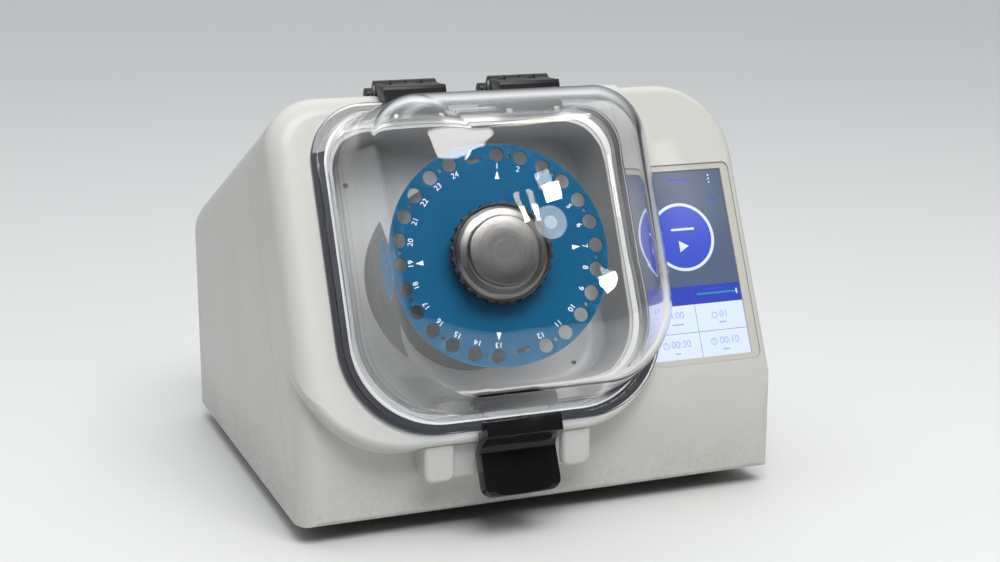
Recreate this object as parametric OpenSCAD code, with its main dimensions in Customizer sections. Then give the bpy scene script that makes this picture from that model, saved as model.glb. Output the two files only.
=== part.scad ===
// Analytical lab mill: a bench machine that shakes a ring of small sample tubes.
// A sloping front carries a clear swing-up lid over the milling chamber and a touch display
// beside it. In the chamber a tube plate sits on a nutating carriage: an inclined journal on the
// motor shaft makes the plate wobble, while magnets keep it from turning round.
// Millimetres, Z up, Y towards the back. The origin is under the middle of the machine, on the bench.

/* [Housing] */
// Width across the side walls
body_w = 395; // [388:1:420]
// Depth from the vertical front face to the rear wall
body_d = 362; // [350:1:400]
// Height of the bend between the vertical and the sloping front
bend_h = 80; // [78:1:86]
// Slope length from the bend to the roof
front_len = 246.5; // [244:0.5:256]
// Lean of the sloping front back from the vertical
lean = 24.3; // [22:0.1:26]
// Radius of the bend, across the front
bend_r = 120; // [100:1:130]
// Extra tilt of the rear part of the roof
roof_relief = 1.5; // [0:0.1:3]
// Wall thickness of the two shells
wall = 3.5; // [3:0.1:4]
// Depth of the front shell behind the sloping face, down to the seam
seam_w = 46; // [42:1:46]
// Width of the visible seam between the shells
seam_gap = 0.5; // [0.2:0.1:1]
// Rounding of the left front edge and of the roof edge over the lid
edge_left = 18; // [12:1:20]
// Rounding of the right front edge and of the roof edge over the display
edge_right = 8; // [5:1:12]
// Radius of the left shoulder, seen from the front
shoulder_left = 45; // [40:1:50]
// Radius of the right shoulder, seen from the front
shoulder_right = 62; // [50:1:66]
// Radius of the rear upright corners
rear_r = 20; // [12:1:26]
// Radius where the roof turns down into the rear wall
rear_top_r = 60; // [40:1:70]
// Rounding of the lower front edge
toe_r = 5; // [3:1:8]

/* [Lid seat] */
// Middle of the lid and of the drive, across the front
seat_u = -37; // [-40:0.5:-36]
// Middle of the lid and of the drive, up the slope from the bend
seat_v = 107; // [106:0.5:109]
// Height of the raised seat over the sloping face
seat_h = 18; // [16:0.5:20]
// Lower edge of the raised seat, from the bend
seat_low_v = -27; // [-28:0.5:-26]
// Radius of the lower corners of the seat
seat_corner = 80; // [70:1:86]
// Rounding of the lower edge of the seat
seat_edge = 5; // [3:0.5:6]
// Side of the square chamber opening
mouth = 226; // [222:1:228]
// Radius of the upper corners of the chamber opening
mouth_r = 38; // [34:1:44]
// Extra radius of the lower corners of chamber, gasket and lid
low_more = 26; // [20:1:30]
// Depth of the chamber floor under the sloping face
chamber_d = 45; // [44:0.5:48]
// Thickness of the chamber liner
liner_t = 3; // [2:0.5:4]
// Middle size of the square gasket ring
gasket_mid = 244.5; // [243:0.5:245]
// Width of the gasket
gasket_w = 6.5; // [5:0.5:7]
// Depth of the gasket groove
groove_d = 3; // [2:0.5:4]
// Play between parts that slide into one another
slip = 0.4; // [0.3:0.05:0.6]
// Gap kept between the gasket and the closed lid
gasket_gap = 0.3; // [0.2:0.1:0.6]

/* [Lid] */
// Height of the lid flange, up the slope
flange = 255; // [252:1:258]
// Width of the lid flange, across the front
flange_wide = 260; // [256:1:262]
// Radius of the upper corners of the lid flange
flange_r = 46; // [42:1:50]
// Thickness of the lid flange
flange_t = 6; // [5:0.5:7]
// Height of the flange's back over the seat
flange_gap = 3; // [2.5:0.5:4]
// Outer side of the dome where it leaves the flange
dome = 238; // [234:1:240]
// Height of the dome's front face over the sloping face
dome_h = 143; // [136:1:150]
// Draft angle of the dome's upper and lower wall
draft = 6.6; // [4:0.1:8]
// Draft angle of the dome's side walls
draft_side = 10.6; // [8:0.1:12]
// Radius of the dome's upper corners at the flange
dome_r = 40; // [38:1:46]
// Radius of the dome's upper corners where they turn into the front face
dome_top_r = 45; // [40:1:50]
// Radius of the dome's lower corners where they turn into the front face
dome_low_r = 70; // [64:1:76]
// Radius where the dome's sides turn into its front face
dome_edge = 55; // [48:1:60]
// Wall thickness of the dome
dome_t = 5; // [3:0.5:6]
// Radius of the moulding gate disc on the dome's front face
gate_r = 12; // [6:1:16]

/* [Hinges] */
// Width of one hinge
hinge_len = 50; // [44:1:56]
// Distance between the middles of the two hinges
hinge_span = 94; // [80:1:110]
// Middle of the hinge pair from the middle of the lid
hinge_shift = 4; // [0:1:8]
// Radius of the hinge knuckles
knuckle_r = 5.5; // [5:0.1:5.6]
// Radius of the hinge pin
hinge_pin_r = 2; // [1.5:0.1:2.5]
// Number of knuckles on one hinge
knuckles = 4; // [4:1:6]
// Height of the hinge axis over the roof edge
hinge_rise = 5; // [5:0.1:7]
// Place of the hinge axis in front of the sloping face
hinge_w = 7; // [6:0.5:8]
// Gap between neighbouring knuckles
knuckle_gap = 0.8; // [0.5:0.1:1.2]

/* [Latch] */
// Width of the latch handle
handle_len = 60; // [56:1:64]
// Length of the grip down from the pivot
grip_len = 48.5; // [44:0.5:50]
// Thickness of the grip
grip_t = 13; // [11:0.5:14]
// Place of the grip's back in front of the sloping face
grip_back = 6.5; // [6:0.5:8]
// Depth of the top block of the handle
block_d = 11; // [10.5:0.5:14]
// Radius of the latch pivot pin
latch_pin_r = 2; // [1.5:0.1:2.5]
// Width of the hook arm
hook_w = 18; // [12:1:20]
// Width of the keeper block
keeper_len = 134; // [124:1:140]
// Middle of the keeper block from the middle of the lid
keeper_shift = -3; // [-6:0.5:0]
// Width of the keeper's end pads
pad_w = 24; // [20:1:26]
// Step from the end pads back to the middle of the keeper
pad_step = 5; // [4.5:0.5:6]
// Lower edge of the keeper over the housing's underside
keeper_low = 31; // [29:0.5:33]
// Reach of the keeper's end pads in front of the housing
keeper_out = 22.5; // [21:0.5:23]
// Width of the lock tongue
tongue_w = 20; // [16:1:24]
// Thickness of the lock tongue and of the latch bracket
tongue_t = 3; // [2:0.5:3]
// Reach of the tongue under the sloping face
tongue_reach = 38; // [37:0.5:40]
// Radius of the lock bolt
bolt_r = 4; // [3:0.25:4.5]
// Travel of the lock bolt
bolt_travel = 6; // [4:0.5:7]

/* [Drive] */
// Tilt of the journal against the motor shaft
journal_tilt = 7.4; // [5:0.1:8]
// Direction of the tilt, round the drive axis
journal_az = 206; // [0:1:360]
// Height of the wobble centre over the sloping face
pivot_w = 14; // [13:0.5:16]
// Radius of the motor shaft
shaft_r = 8.5; // [7:0.25:9]
// Radius of the inclined journal
journal_r = 12.5; // [11:0.25:13]
// Outer radius of the carriage bearings
bearing_r = 26; // [25:0.5:27]
// Width of one carriage bearing
bearing_w = 13; // [11:0.5:14]
// Radius of the motor body
motor_r = 58; // [45:1:60]
// Length of the motor body
motor_len = 100; // [80:1:110]
// Radius of the guard at the chamber floor
guard_r = 78; // [74:1:82]
// Running clearance of shafts in their bores
run = 0.04; // [0.02:0.01:0.08]

/* [Carriage] */
// Diameter of the tube plate
plate_d = 170; // [166:1:176]
// Thickness of the tube plate
plate_t = 2; // [1.5:0.5:3]
// Height of the tube plate over the wobble centre
plate_rise = 32; // [30:0.5:36]
// Number of tube places round the plate
tube_count = 24; // [12:2:24]
// Diameter of the tube holes
tube_hole = 11.2; // [10.6:0.1:11.4]
// Diameter of the circle of tube holes
tube_circle = 152.6; // [148:0.2:154]
// Length of the two locating slots
slot_len = 10.5; // [8:0.5:12]
// Width of the two locating slots
slot_w = 3.3; // [2:0.1:4]
// Number of magnet pairs that keep the carriage from turning
magnet_count = 8; // [4:1:10]
// Radius of a magnet
magnet_r = 5; // [4:0.5:6]

/* [Clamp] */
// Radius of the threaded stud
stud_r = 8; // [6:0.5:9]
// Thread pitch of the stud
stud_pitch = 2; // [1:0.25:3]
// Radius of the metal knob
knob_r = 35; // [30:0.5:36]
// Radius of the knob's raised flat top
knob_top_r = 26; // [20:0.5:28]
// Height of the metal knob
knob_h = 20; // [16:0.5:24]
// Outer radius of the toothed grip ring
grip_r = 38.4; // [38:0.1:40]
// Number of teeth on the grip ring
grip_teeth = 28; // [20:1:36]
// Height of the grip ring
grip_h = 8; // [6:0.5:10]
// Radius of the clamp washer
washer_r = 30; // [26:0.5:32]

/* [Display] */
// Width of the display's active area
screen_w = 87; // [80:1:88]
// Height of the display's active area
screen_h = 154.2; // [140:0.2:156]
// Middle of the display across the front
screen_u = 139.9; // [139:0.1:141]
// Middle of the display up the slope
screen_v = 95.3; // [90:0.1:100]
// Depth of the glass under the sloping face
screen_sink = 3; // [2:0.1:3.2]
// Frame width right of the active area
frame_right = 7.1; // [5:0.1:8]
// Frame width above and below the active area
frame_ends = 5; // [4:0.1:7]
// Frame width left of the active area
frame_left = 1.6; // [1.2:0.1:2]

/* [Rear and base] */
// Height of the feet
foot_h = 15; // [10:1:20]
// Radius of the feet
foot_r = 14; // [11:1:17]
// Side of the cooling fan
fan_side = 80; // [60:1:84]
// Depth of the cooling fan
fan_d = 25; // [20:1:30]
// Number of fan blades
fan_blades = 7; // [5:1:9]
// Width of the rear panel
panel_w = 220; // [204:1:240]
// Height of the rear panel
panel_h = 104; // [100:1:110]
// Thickness of the rear panel
panel_t = 1.5; // [1:0.1:2]
// Thickness of the base plate
base_t = 2; // [1.5:0.1:3]

/* [Hidden] */
$fn = 96;

si = sin(lean);
co = cos(lean);
roof_v = front_len;
flange_w = seat_h + flange_gap;
dome_reach = max([for (q = dome_rings(dome / 2, dome_h, dome_edge, 0)) q[4] * co - (seat_v - q[1]) * si]);
front_y = -(body_d + 2 - dome_reach) / 2;
roof_slope = lean - roof_relief;
seam_y = roof_v * si + seam_w * co;
seam_z = bend_h + roof_v * co - seam_w * si;
rear_z = seam_z - (body_d - seam_y) * tan(roof_slope);
shell_deep = seam_w + 14;
seat_skin = wall + groove_d;
seat_step = 0.05;
hair = 0.02;
liner = mouth - 2 * slip;
flange_low = seat_v - flange / 2;
hinge_v = roof_v + hinge_rise;
leaf_front = flange_w + flange_t;
latch_v = flange_low - 1;
latch_w = leaf_front + 6.5;
ear_r = 4;
keeper_mid = keeper_out - pad_step;
web_v = flange_low - 0.3;
leaf_screw = 4.5;
lip_v = -41;
bolt_w = tongue_reach - 8;
bolt_v = web_v - tongue_t / 2;
liner_floor = -chamber_d - liner_t;
bracket_w = -56;
bracket_t = 3;
post_reach = 112;
housing_low = -98;
motor_top = -104;
washer_rise = plate_rise + plate_t + 0.1;
washer_t = 3;
knob_rise = washer_rise + washer_t + 0.3;
knob_lift = 0.006 * 1000;
panel_x = 0;
panel_z = 76;
fan_x = 52;
inlet_x = -56;

// Frames: the housing's lower front edge, the sloping front and the inclined journal

module at_shell() translate([0, front_y, foot_h]) children();

module on_front() translate([0, front_y, foot_h + bend_h]) rotate([90 - lean, 0, 0]) children();

module on_seat() on_front() translate([seat_u, seat_v, 0]) children();

module on_journal() on_seat() translate([0, 0, pivot_w])
    rotate([0, 0, journal_az]) rotate([0, journal_tilt, 0]) rotate([0, 0, -journal_az]) children();

// Frame of the rear wall: X to the right seen from behind, Y up, Z out to the back
module on_rear() translate([0, front_y + body_d, foot_h]) rotate([90, 0, 180]) children();

// Flat shapes and rounded blocks

module corner_bit(x, y, sx, sy, r) if (r > 0)
    translate([x, y]) mirror([sx < 0 ? 1 : 0, 0]) mirror([0, sy < 0 ? 1 : 0]) difference() {
        translate([-1, -1]) square(r + 1);
        translate([r, r]) circle(r);
    }

// Rectangle from one corner to the other, corner radii in the order
// lower left, lower right, upper right, upper left
module panel(x0, y0, x1, y1, r) difference() {
    translate([x0, y0]) square([x1 - x0, y1 - y0]);
    corner_bit(x0, y0, 1, 1, r[0]);
    corner_bit(x1, y0, -1, 1, r[1]);
    corner_bit(x1, y1, -1, -1, r[2]);
    corner_bit(x0, y1, 1, -1, r[3]);
}

module rounded(w, h, r) panel(-w / 2, -h / 2, w / 2, h / 2, [r, r, r, r]);

module plate(w, h, r, z0, z1) translate([0, 0, z0]) linear_extrude(z1 - z0) rounded(w, h, r);

// Outline of lid, gasket and chamber: its lower corners are rounder than the upper ones
module lid_plate(w, h, r, z0, z1) translate([0, 0, z0]) linear_extrude(z1 - z0)
    panel(-w / 2, -h / 2, w / 2, h / 2, [r + low_more, r + low_more, r, r]);

module ring_of(w, t, r, z0, z1) difference() {
    lid_plate(w + t, w + t, r + t / 2, z0, z1);
    lid_plate(w - t, w - t, r - t / 2, z0 - 1, z1 + 1);
}

// Block with upright corner radii and a rounded upper edge
module pillow(w, h, z0, z1, corner, edge) {
    rotate([90, 0, 90]) linear_extrude(w - 2 * corner, center = true)
        panel(-h / 2, z0, h / 2, z1, [0, 0, edge, edge]);
    rotate([90, 0, 0]) linear_extrude(h - 2 * corner, center = true)
        panel(-w / 2, z0, w / 2, z1, [0, 0, edge, edge]);
    for (x = [-1, 1], y = [-1, 1]) translate([x * (w / 2 - corner), y * (h / 2 - corner), 0])
        rotate_extrude() panel(0, z0, corner, z1, [0, 0, edge, 0]);
}

// The same with rounder lower corners
module lid_pillow(w, h, z0, z1, corner, edge) {
    low = corner + low_more;
    rotate([90, 0, 90]) linear_extrude(w - 2 * low, center = true)
        panel(-h / 2, z0, h / 2, z1, [0, 0, edge, edge]);
    rotate([90, 0, 90]) linear_extrude(w - 2 * corner, center = true)
        panel(0, z0, h / 2, z1, [0, 0, edge, 0]);
    translate([0, h / 2 - corner, 0]) rotate([90, 0, 0]) linear_extrude(h - corner - low)
        panel(-w / 2, z0, w / 2, z1, [0, 0, edge, edge]);
    for (x = [-1, 1]) {
        translate([x * (w / 2 - corner), h / 2 - corner, 0]) rotate_extrude() panel(0, z0, corner, z1, [0, 0, edge, 0]);
        translate([x * (w / 2 - low), -h / 2 + low, 0]) rotate_extrude() panel(0, z0, low, z1, [0, 0, edge, 0]);
    }
}

module rod(r, z0, z1) translate([0, 0, z0]) cylinder(r = r, h = z1 - z0);

module tube(r, bore, z0, z1) difference() {
    rod(r, z0, z1);
    rod(bore, z0 - 1, z1 + 1);
}

// Screw along Z with its head's underside at zero, cross recess on top
module screw(r, head_r, head_h, len) difference() {
    union() {
        rod(r, -len, 0.01);
        rotate_extrude() panel(0, 0, head_r, head_h, [0, 0, min(head_h, head_r) * 0.6, 0]);
    }
    for (a = [0, 90]) rotate([0, 0, a])
        translate([-head_r * 0.55, -head_r * 0.13, head_h * 0.45]) cube([head_r * 1.1, head_r * 0.26, head_h]);
}

// Housing form, inset by i from the outside

module rim_section(top, i, deep, left, right)
    panel(-body_w / 2 + i, -deep, body_w / 2 - i, top - i, [0, 0, max(right - i, 1), max(left - i, 1)]);

module lean_form(top, i, deep, v0, left, right, split) {
    v1 = roof_v - i;
    half = body_w / 2;
    // straight sides up to the shoulders
    for (side = [-1, 1]) {
        r = side < 0 ? shoulder_left : shoulder_right;
        translate([0, roof_v - r, 0]) rotate([90, 0, 0]) linear_extrude(roof_v - r - v0)
            intersection() {
                rim_section(top, i, deep, left, right);
                translate([side < 0 ? -half : 0, -deep]) square([half, deep + top]);
            }
    }
    // roof between the shoulders
    for (part = [[-half + shoulder_left, split, left], [split, half - shoulder_right, right]])
        translate([part[0], 0, 0]) rotate([90, 0, 90]) linear_extrude(part[1] - part[0])
            panel(v0, -deep, v1, top - i, [0, 0, max(part[2] - i, 1), 0]);
    // shoulders
    translate([-half + shoulder_left, roof_v - shoulder_left, 0]) rotate([0, 0, 90]) rotate_extrude(angle = 90)
        panel(0, -deep, shoulder_left - i, top - i, [0, 0, max(left - i, 1), 0]);
    translate([half - shoulder_right, roof_v - shoulder_right, 0]) rotate_extrude(angle = 90)
        panel(0, -deep, shoulder_right - i, top - i, [0, 0, max(right - i, 1), 0]);
}

module front_form(i) difference() {
    intersection() {
        on_front() lean_form(0, i, shell_deep, -bend_r, edge_left, edge_right, 60);
        at_shell() translate([0, 0, i]) linear_extrude(body_d) mirror([0, 1])
            rim_section(0, i, body_d, edge_left, edge_right);
    }
    // bend between the vertical and the sloping front, and the lower edge
    at_shell() rotate([90, 0, 90]) linear_extrude(2 * body_w, center = true) {
        round_off([i, bend_h - i * tan(lean / 2)], [0, -1], [si, co], bend_r);
        round_off([i, i], [0, 1], [1, 0], toe_r);
    }
}

// Raised seat round the lid: it follows the housing's left edge and roof
module seat_form(i, skin) intersection() {
    on_front() lean_form(seat_h, i + seat_step, 20, -60, edge_left, edge_left, 60);
    on_front() {
        left = -body_w / 2;
        right = screen_u - screen_w / 2 + 0.5;
        top = roof_v + 2 * seat_corner;
        translate([(left + right) / 2, (seat_low_v + top) / 2, 0])
            pillow(right - left - 2 * i, top - seat_low_v - 2 * i, -40, seat_h - skin, seat_corner - i, seat_edge);
    }
}

module rear_form(i, low) intersection() {
    on_front() translate([0, roof_v, -seam_w]) rotate([roof_relief, 0, 0])
        translate([0, -roof_v, -500]) linear_extrude(530)
        panel(-body_w / 2 + i, -300, body_w / 2 - i, roof_v - i,
            [0, 0, shoulder_right - i, shoulder_left - i]);
    at_shell() translate([0, 0, low]) linear_extrude(400)
        panel(-body_w / 2 + i, -50, body_w / 2 - i, body_d - i, [0, 0, rear_r - i, rear_r - i]);
    at_shell() difference() {
        translate([-body_w, -100, low]) cube([2 * body_w, 700, 700]);
        // the roof turns down into the rear wall
        rotate([90, 0, 90]) linear_extrude(2 * body_w, center = true)
            round_off([body_d - i, rear_z - i * 0.68], [-cos(roof_slope), sin(roof_slope)], [0, -1], rear_top_r - i);
    }
}

// Piece outside the arc that rounds the corner p between directions a and b. The arc stands proud
// of both faces by a hair, so that it crosses them instead of only touching.
module round_off(p, a, b, r) {
    half = acos(a * b) / 2;
    t = r / tan(half);
    mid = (a + b) / norm(a + b);
    difference() {
        polygon([p - mid * 30, p + a * t - mid * 30, p + a * t, p + b * t, p + b * t - mid * 30]);
        translate(p + mid * (r / sin(half) - hair)) circle(r, $fn = 180);
    }
}

module front_zone(extra) on_front() translate([-400, -500, -seam_w + extra]) cube([800, 1000, 300]);

module rear_zone() on_front() translate([-400, -500, -600 - seam_w - seam_gap]) cube([800, 1200, 600]);

module above_bench() at_shell() translate([-400, -400, 0]) cube([800, 900, 500]);

// Housing

module display_cut() {
    x0 = screen_u - screen_w / 2 - frame_left;
    x1 = screen_u + screen_w / 2 + frame_right;
    y0 = screen_v - screen_h / 2 - frame_ends;
    y1 = screen_v + screen_h / 2 + frame_ends;
    translate([0, 0, -screen_sink - 0.6]) linear_extrude(40) panel(x0, y0, x1, y1, [5.5, 5.5, 5.5, 5.5]);
    translate([0, 0, -20]) linear_extrude(40)
        panel(x0 + 4, y0 + 7, x1 - 8, y1 - 7, [2, 2, 2, 2]);
}

module post_places() for (x = [-1, 1], y = [-1, 1])
    translate([seat_u + x * post_reach, seat_v + y * post_reach, 0]) children();

module front_shell() color([0.80, 0.79, 0.76]) difference() {
    union() {
        intersection() {
            difference() {
                union() {
                    front_form(0);
                    seat_form(0, 0);
                }
                // hollow, left solid where the four posts for the motor bracket stand
                difference() {
                    union() {
                        front_form(wall);
                        seat_form(wall, seat_skin);
                    }
                    on_front() post_places() rod(7, -shell_deep - 5, seat_h + 20);
                }
            }
            front_zone(0);
            above_bench();
        }
        // ledge behind the display
        on_front() difference() {
            translate([screen_u - screen_w / 2 - 8, screen_v - screen_h / 2 - 9, -7])
                cube([screen_w + 18, screen_h + 18, 5]);
        }
    }
    on_front() post_places() rod(2, -seam_w - 10, -seam_w + 26);
    on_seat() lid_plate(mouth, mouth, mouth_r, -60, 40);
    on_seat() ring_of(gasket_mid, gasket_w + 2 * slip, mouth_r + 4, seat_h - groove_d, seat_h + 10);
    on_front() display_cut();
    // slot for the lock tongue
    on_front() translate([seat_u - tongue_w / 2 - 2, -29, -60])
        cube([tongue_w + 4, 29 + web_v + 0.6, 100]);
    on_keeper() keeper_screw_places() rod(2, -20, 10);
    hinge_places() hinge_screw_places() hinge_screw_axis() rod(1.6, -14, 5);
}

module rear_shell() color([0.79, 0.78, 0.75]) difference() {
    union() {
        intersection() {
            difference() {
                rear_form(0, 0);
                rear_form(wall, -5);
            }
            rear_zone();
        }
        // ledges that the base plate is screwed to
        at_shell() base_screw_places() tube(5, 1.6, base_t + 0.6, 22);
    }
    // window for the rear panel
    on_rear() translate([panel_x, panel_z, -20]) linear_extrude(40) rounded(panel_w - 16, panel_h - 12, 6);
    on_rear() panel_screw_places() rod(1.6, -20, 10);
    // air slots in the right side wall
    at_shell() for (k = [0:8]) translate([0, 190 + 14 * k, 34]) rotate([90, 0, 90])
        linear_extrude(body_w) panel(0, 0, 5, 46, [2.4, 2.4, 2.4, 2.4]);
}

module base_outline() panel(-body_w / 2 + wall + slip, 34, body_w / 2 - wall - slip,
    body_d - wall - slip, [4, 4, rear_r - wall, rear_r - wall]);

module foot_places() for (x = [-1, 1], y = [58, body_d - 34])
    translate([x * (body_w / 2 - 34), y, 0]) children();

module base_screw_places() for (x = [-1, 1], y = [120, body_d - 90])
    translate([x * (body_w / 2 - wall - 4), y, 0]) children();

module base_plate() color([0.55, 0.56, 0.57]) at_shell() difference() {
    translate([0, 0, 0.5]) linear_extrude(base_t) base_outline();
    foot_places() rod(2.1, -5, 10);
    base_screw_places() rod(1.7, -5, 10);
    for (k = [0:9], y = [150, 230]) translate([-63 + 14 * k, y, -5]) linear_extrude(15)
        panel(-2.5, 0, 2.5, 50, [2.4, 2.4, 2.4, 2.4]);
}

module feet() color([0.08, 0.08, 0.08]) at_shell() foot_places() difference() {
    translate([0, 0, -foot_h]) rotate_extrude()
        polygon([[0, 0], [foot_r - 3, 0], [foot_r - 1.6, 1.4], [foot_r, foot_h - 1], [foot_r, foot_h + 0.5], [0, foot_h + 0.5]]);
    rod(4.4, -foot_h - 1, -foot_h + 6);
    rod(2.1, -foot_h, 5);
}

module foot_screws() color([0.6, 0.6, 0.6]) at_shell() foot_places()
    translate([0, 0, -foot_h + 6]) rotate([180, 0, 0]) screw(2, 4, 2.6, foot_h - 6 + 8);

// Chamber

module chamber_liner() color([0.74, 0.74, 0.73]) on_seat() difference() {
    lid_plate(liner, liner, mouth_r - slip, liner_floor, seat_h - 0.5);
    // inside, with a rounded floor edge
    mirror([0, 0, 1])
        lid_pillow(liner - 2 * liner_t, liner - 2 * liner_t, -40, chamber_d, mouth_r - slip - liner_t, 12);
    rod(36, liner_floor - 5, 0);
    for (x = [-1, 1], y = [-1, 1]) translate([x * 82, y * 82, 0]) rod(2.1, liner_floor - 5, 0);
}

module drive_guard() color([0.16, 0.16, 0.17]) on_seat() difference() {
    rotate_extrude() polygon([[26, -20], [guard_r - 9, -20], [guard_r - 6, -23], [guard_r, -chamber_d],
        [guard_r - 3, -chamber_d], [guard_r - 9, -24], [guard_r - 11, -22.5], [26, -22.5]]);
    for (k = [0:magnet_count - 1]) rotate([0, 0, 360 * k / magnet_count]) translate([50, 0, 0])
        rod(1.5, -30, -10);
}

module guard_magnets() color([0.72, 0.73, 0.75]) on_seat()
    for (k = [0:magnet_count - 1]) rotate([0, 0, 360 * k / magnet_count]) translate([50, 0, 0]) difference() {
        rod(magnet_r, -20, -16);
        rod(1.5, -21, -15);
    }

module lid_gasket() color([0.07, 0.08, 0.11]) on_seat() {
    ring_of(gasket_mid, gasket_w, mouth_r + 4, seat_h - groove_d, seat_h + flange_gap - gasket_gap - 1);
    ring_of(gasket_mid, gasket_w / 2, mouth_r + 4, seat_h - groove_d, seat_h + flange_gap - gasket_gap);
}

// Display

module display_bezel() color([0.45, 0.45, 0.45]) on_front() {
    x0 = screen_u - screen_w / 2;
    y0 = screen_v - screen_h / 2;
    translate([0, 0, -screen_sink - 0.6]) linear_extrude(2.2) difference() {
        panel(x0 - frame_left + 0.2, y0 - frame_ends + 0.2, x0 + screen_w + frame_right - 0.2,
            y0 + screen_h + frame_ends - 0.2, [5.3, 5.3, 5.3, 5.3]);
        panel(x0, y0, x0 + screen_w, y0 + screen_h, [1, 1, 1, 1]);
    }
}

module display_glass() color([0.10, 0.12, 0.32]) on_front()
    translate([screen_u, screen_v, -screen_sink - 0.6]) linear_extrude(0.6)
    rounded(screen_w - 0.2, screen_h - 0.2, 0.9);

module display_module() color([0.12, 0.35, 0.18]) on_front() {
    x1 = screen_u + screen_w / 2 + frame_right - 8;
    x0 = screen_u - screen_w / 2 - frame_left + 4;
    translate([(x0 + x1) / 2, screen_v, 0]) {
        translate([0, 0, -11]) linear_extrude(11 - screen_sink - 0.7)
            rounded(x1 - x0 - 1, screen_h + 2 * frame_ends - 15, 1.5);
        translate([0, 0, -12.6]) linear_extrude(1.6) rounded(x1 - x0 + 4, screen_h - 10, 3);
        for (k = [0:3]) translate([-24 + 16 * k, -30, -16]) cube([10, 12, 4]);
        translate([-20, 20, -19]) cube([40, 10, 7]);
    }
}

// Latch keeper on the vertical front, under the seat

module on_keeper() at_shell() translate([seat_u, 0, 0]) rotate([90, 0, 0]) children();

module keeper_screw_places() for (x = [-1, 1])
    translate([keeper_shift + x * (keeper_len / 2 - 18), keeper_low + 16, 0]) children();

module latch_keeper() color([0.80, 0.79, 0.76]) difference() {
    intersection() {
        on_keeper() {
            translate([keeper_shift, keeper_low + 18, 0]) pillow(keeper_len - 2, 36, 0, keeper_mid, 8, 4);
            for (x = [-1, 1]) translate([keeper_shift + x * (keeper_len - pad_w) / 2, keeper_low + 18.5, 0])
                pillow(pad_w, 37, 0, keeper_out, 7, 3.5);
        }
        // the top lies under the seat
        on_front() translate([-300, -300, -100]) cube([600, 300 + seat_low_v - 0.3, 200]);
    }
    // way for the lock tongue, and pocket under the lip that the hook holds
    on_front() translate([seat_u - hook_w / 2 - 4, 0, 0]) {
        translate([0, -28.5, -60]) cube([hook_w + 8, 40, 120]);
        translate([0, lip_v - 30, -3]) cube([hook_w + 8, 30, 60]);
        translate([0, lip_v - 30, -13]) cube([hook_w + 8, 32.6, 10.5]);
    }
    on_keeper() keeper_screw_places() rod(2, -5, 8);
}

module front_screws() color([0.3, 0.3, 0.31]) {
    on_keeper() keeper_screw_places() translate([0, 0, -wall]) rotate([180, 0, 0]) screw(1.9, 3.6, 2.4, wall + 7);
    hinge_places() hinge_screw_places() hinge_screw_axis() translate([0, 0, -1.05]) screw(1.5, 3, 2, 11);
}

module lock_solenoid() color([0.45, 0.42, 0.30]) on_front()
    translate([seat_u + tongue_w / 2 + 14, bolt_v, -bolt_w]) rotate([90, 0, 90]) difference() {
        union() {
            linear_extrude(34) rounded(15, 15, 2);
            translate([0, 0, 2]) linear_extrude(3) rounded(17, 15, 2);
        }
        rod(bolt_r + run, -1, 40);
    }

module lock_bolt() color([0.75, 0.75, 0.77]) on_front()
    translate([seat_u + tongue_w / 2 + 1, bolt_v, -bolt_w]) rotate([90, 0, 90]) {
        rod(bolt_r, 0, 40);
        tube(bolt_r + 2.5, bolt_r - 1, 8, 10);
    }

module interlock_switch() color([0.15, 0.15, 0.16]) on_front()
    translate([seat_u - tongue_w / 2 - 1.6, bolt_v, -bolt_w + 2]) {
        translate([-17, -5, -10]) cube([15, 10, 20]);
        translate([-2.2, -2, -3]) cube([2, 4, 3]);
    }

// Hinges on the roof edge

module hinge_at(side) on_front() translate([seat_u + hinge_shift + side * hinge_span / 2, hinge_v, hinge_w])
    children();

module hinge_places() for (side = [-1, 1]) hinge_at(side) children();

module hinge_screw_places() for (x = [-1, 1]) translate([x * hinge_len * 0.32, 0, 0]) children();

// Rear leaf screws go down into the roof
module hinge_screw_axis() translate([0, 4.2 - hinge_rise, -15]) rotate([-90, 0, 0]) children();

module knuckle_row(odd, bore) {
    pitch = hinge_len / knuckles;
    for (k = [0:knuckles - 1]) if (k % 2 == odd)
        translate([-hinge_len / 2 + k * pitch + knuckle_gap / 2, 0, 0]) rotate([90, 0, 90])
            tube(knuckle_r, bore, 0, pitch - knuckle_gap);
}

// Section of a leaf, v to the right and w up from the hinge axis, in the knuckles of one leaf
module leaf_arm(odd) {
    pitch = hinge_len / knuckles;
    for (k = [0:knuckles - 1]) if (k % 2 == odd)
        translate([-hinge_len / 2 + k * pitch + knuckle_gap / 2, 0, 0]) rotate([90, 0, 90])
            linear_extrude(pitch - knuckle_gap) difference() {
                children();
                circle(knuckle_r - 1);
            }
}

module hinge_base() color([0.05, 0.05, 0.05]) difference() {
    union() {
        knuckle_row(0, hinge_pin_r + run);
        leaf_arm(0) polygon([[knuckle_r - 1.5, -3], [-hinge_rise + 0.1, -7.4], [-hinge_rise + 0.1, -14], [-hinge_rise + 3, -14]]);
        rotate([90, 0, 90]) linear_extrude(hinge_len, center = true)
            panel(-hinge_rise + 0.1, -29, -hinge_rise + 3.1, -knuckle_r - 1.6, [0, 1, 1, 0]);
        // rear bar
        translate([-hinge_len / 2, -hinge_rise + 6.4, -23]) rotate([90, 0, 90]) difference() {
            rod(5.6, 0, hinge_len);
            translate([-11.4, -10, -1]) cube([5.1, 20, hinge_len + 2]);
        }
    }
    hinge_screw_places() hinge_screw_axis() {
        rod(1.6, -14, 20);
        rod(3.2, -1.05, 20);
    }
}

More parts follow.
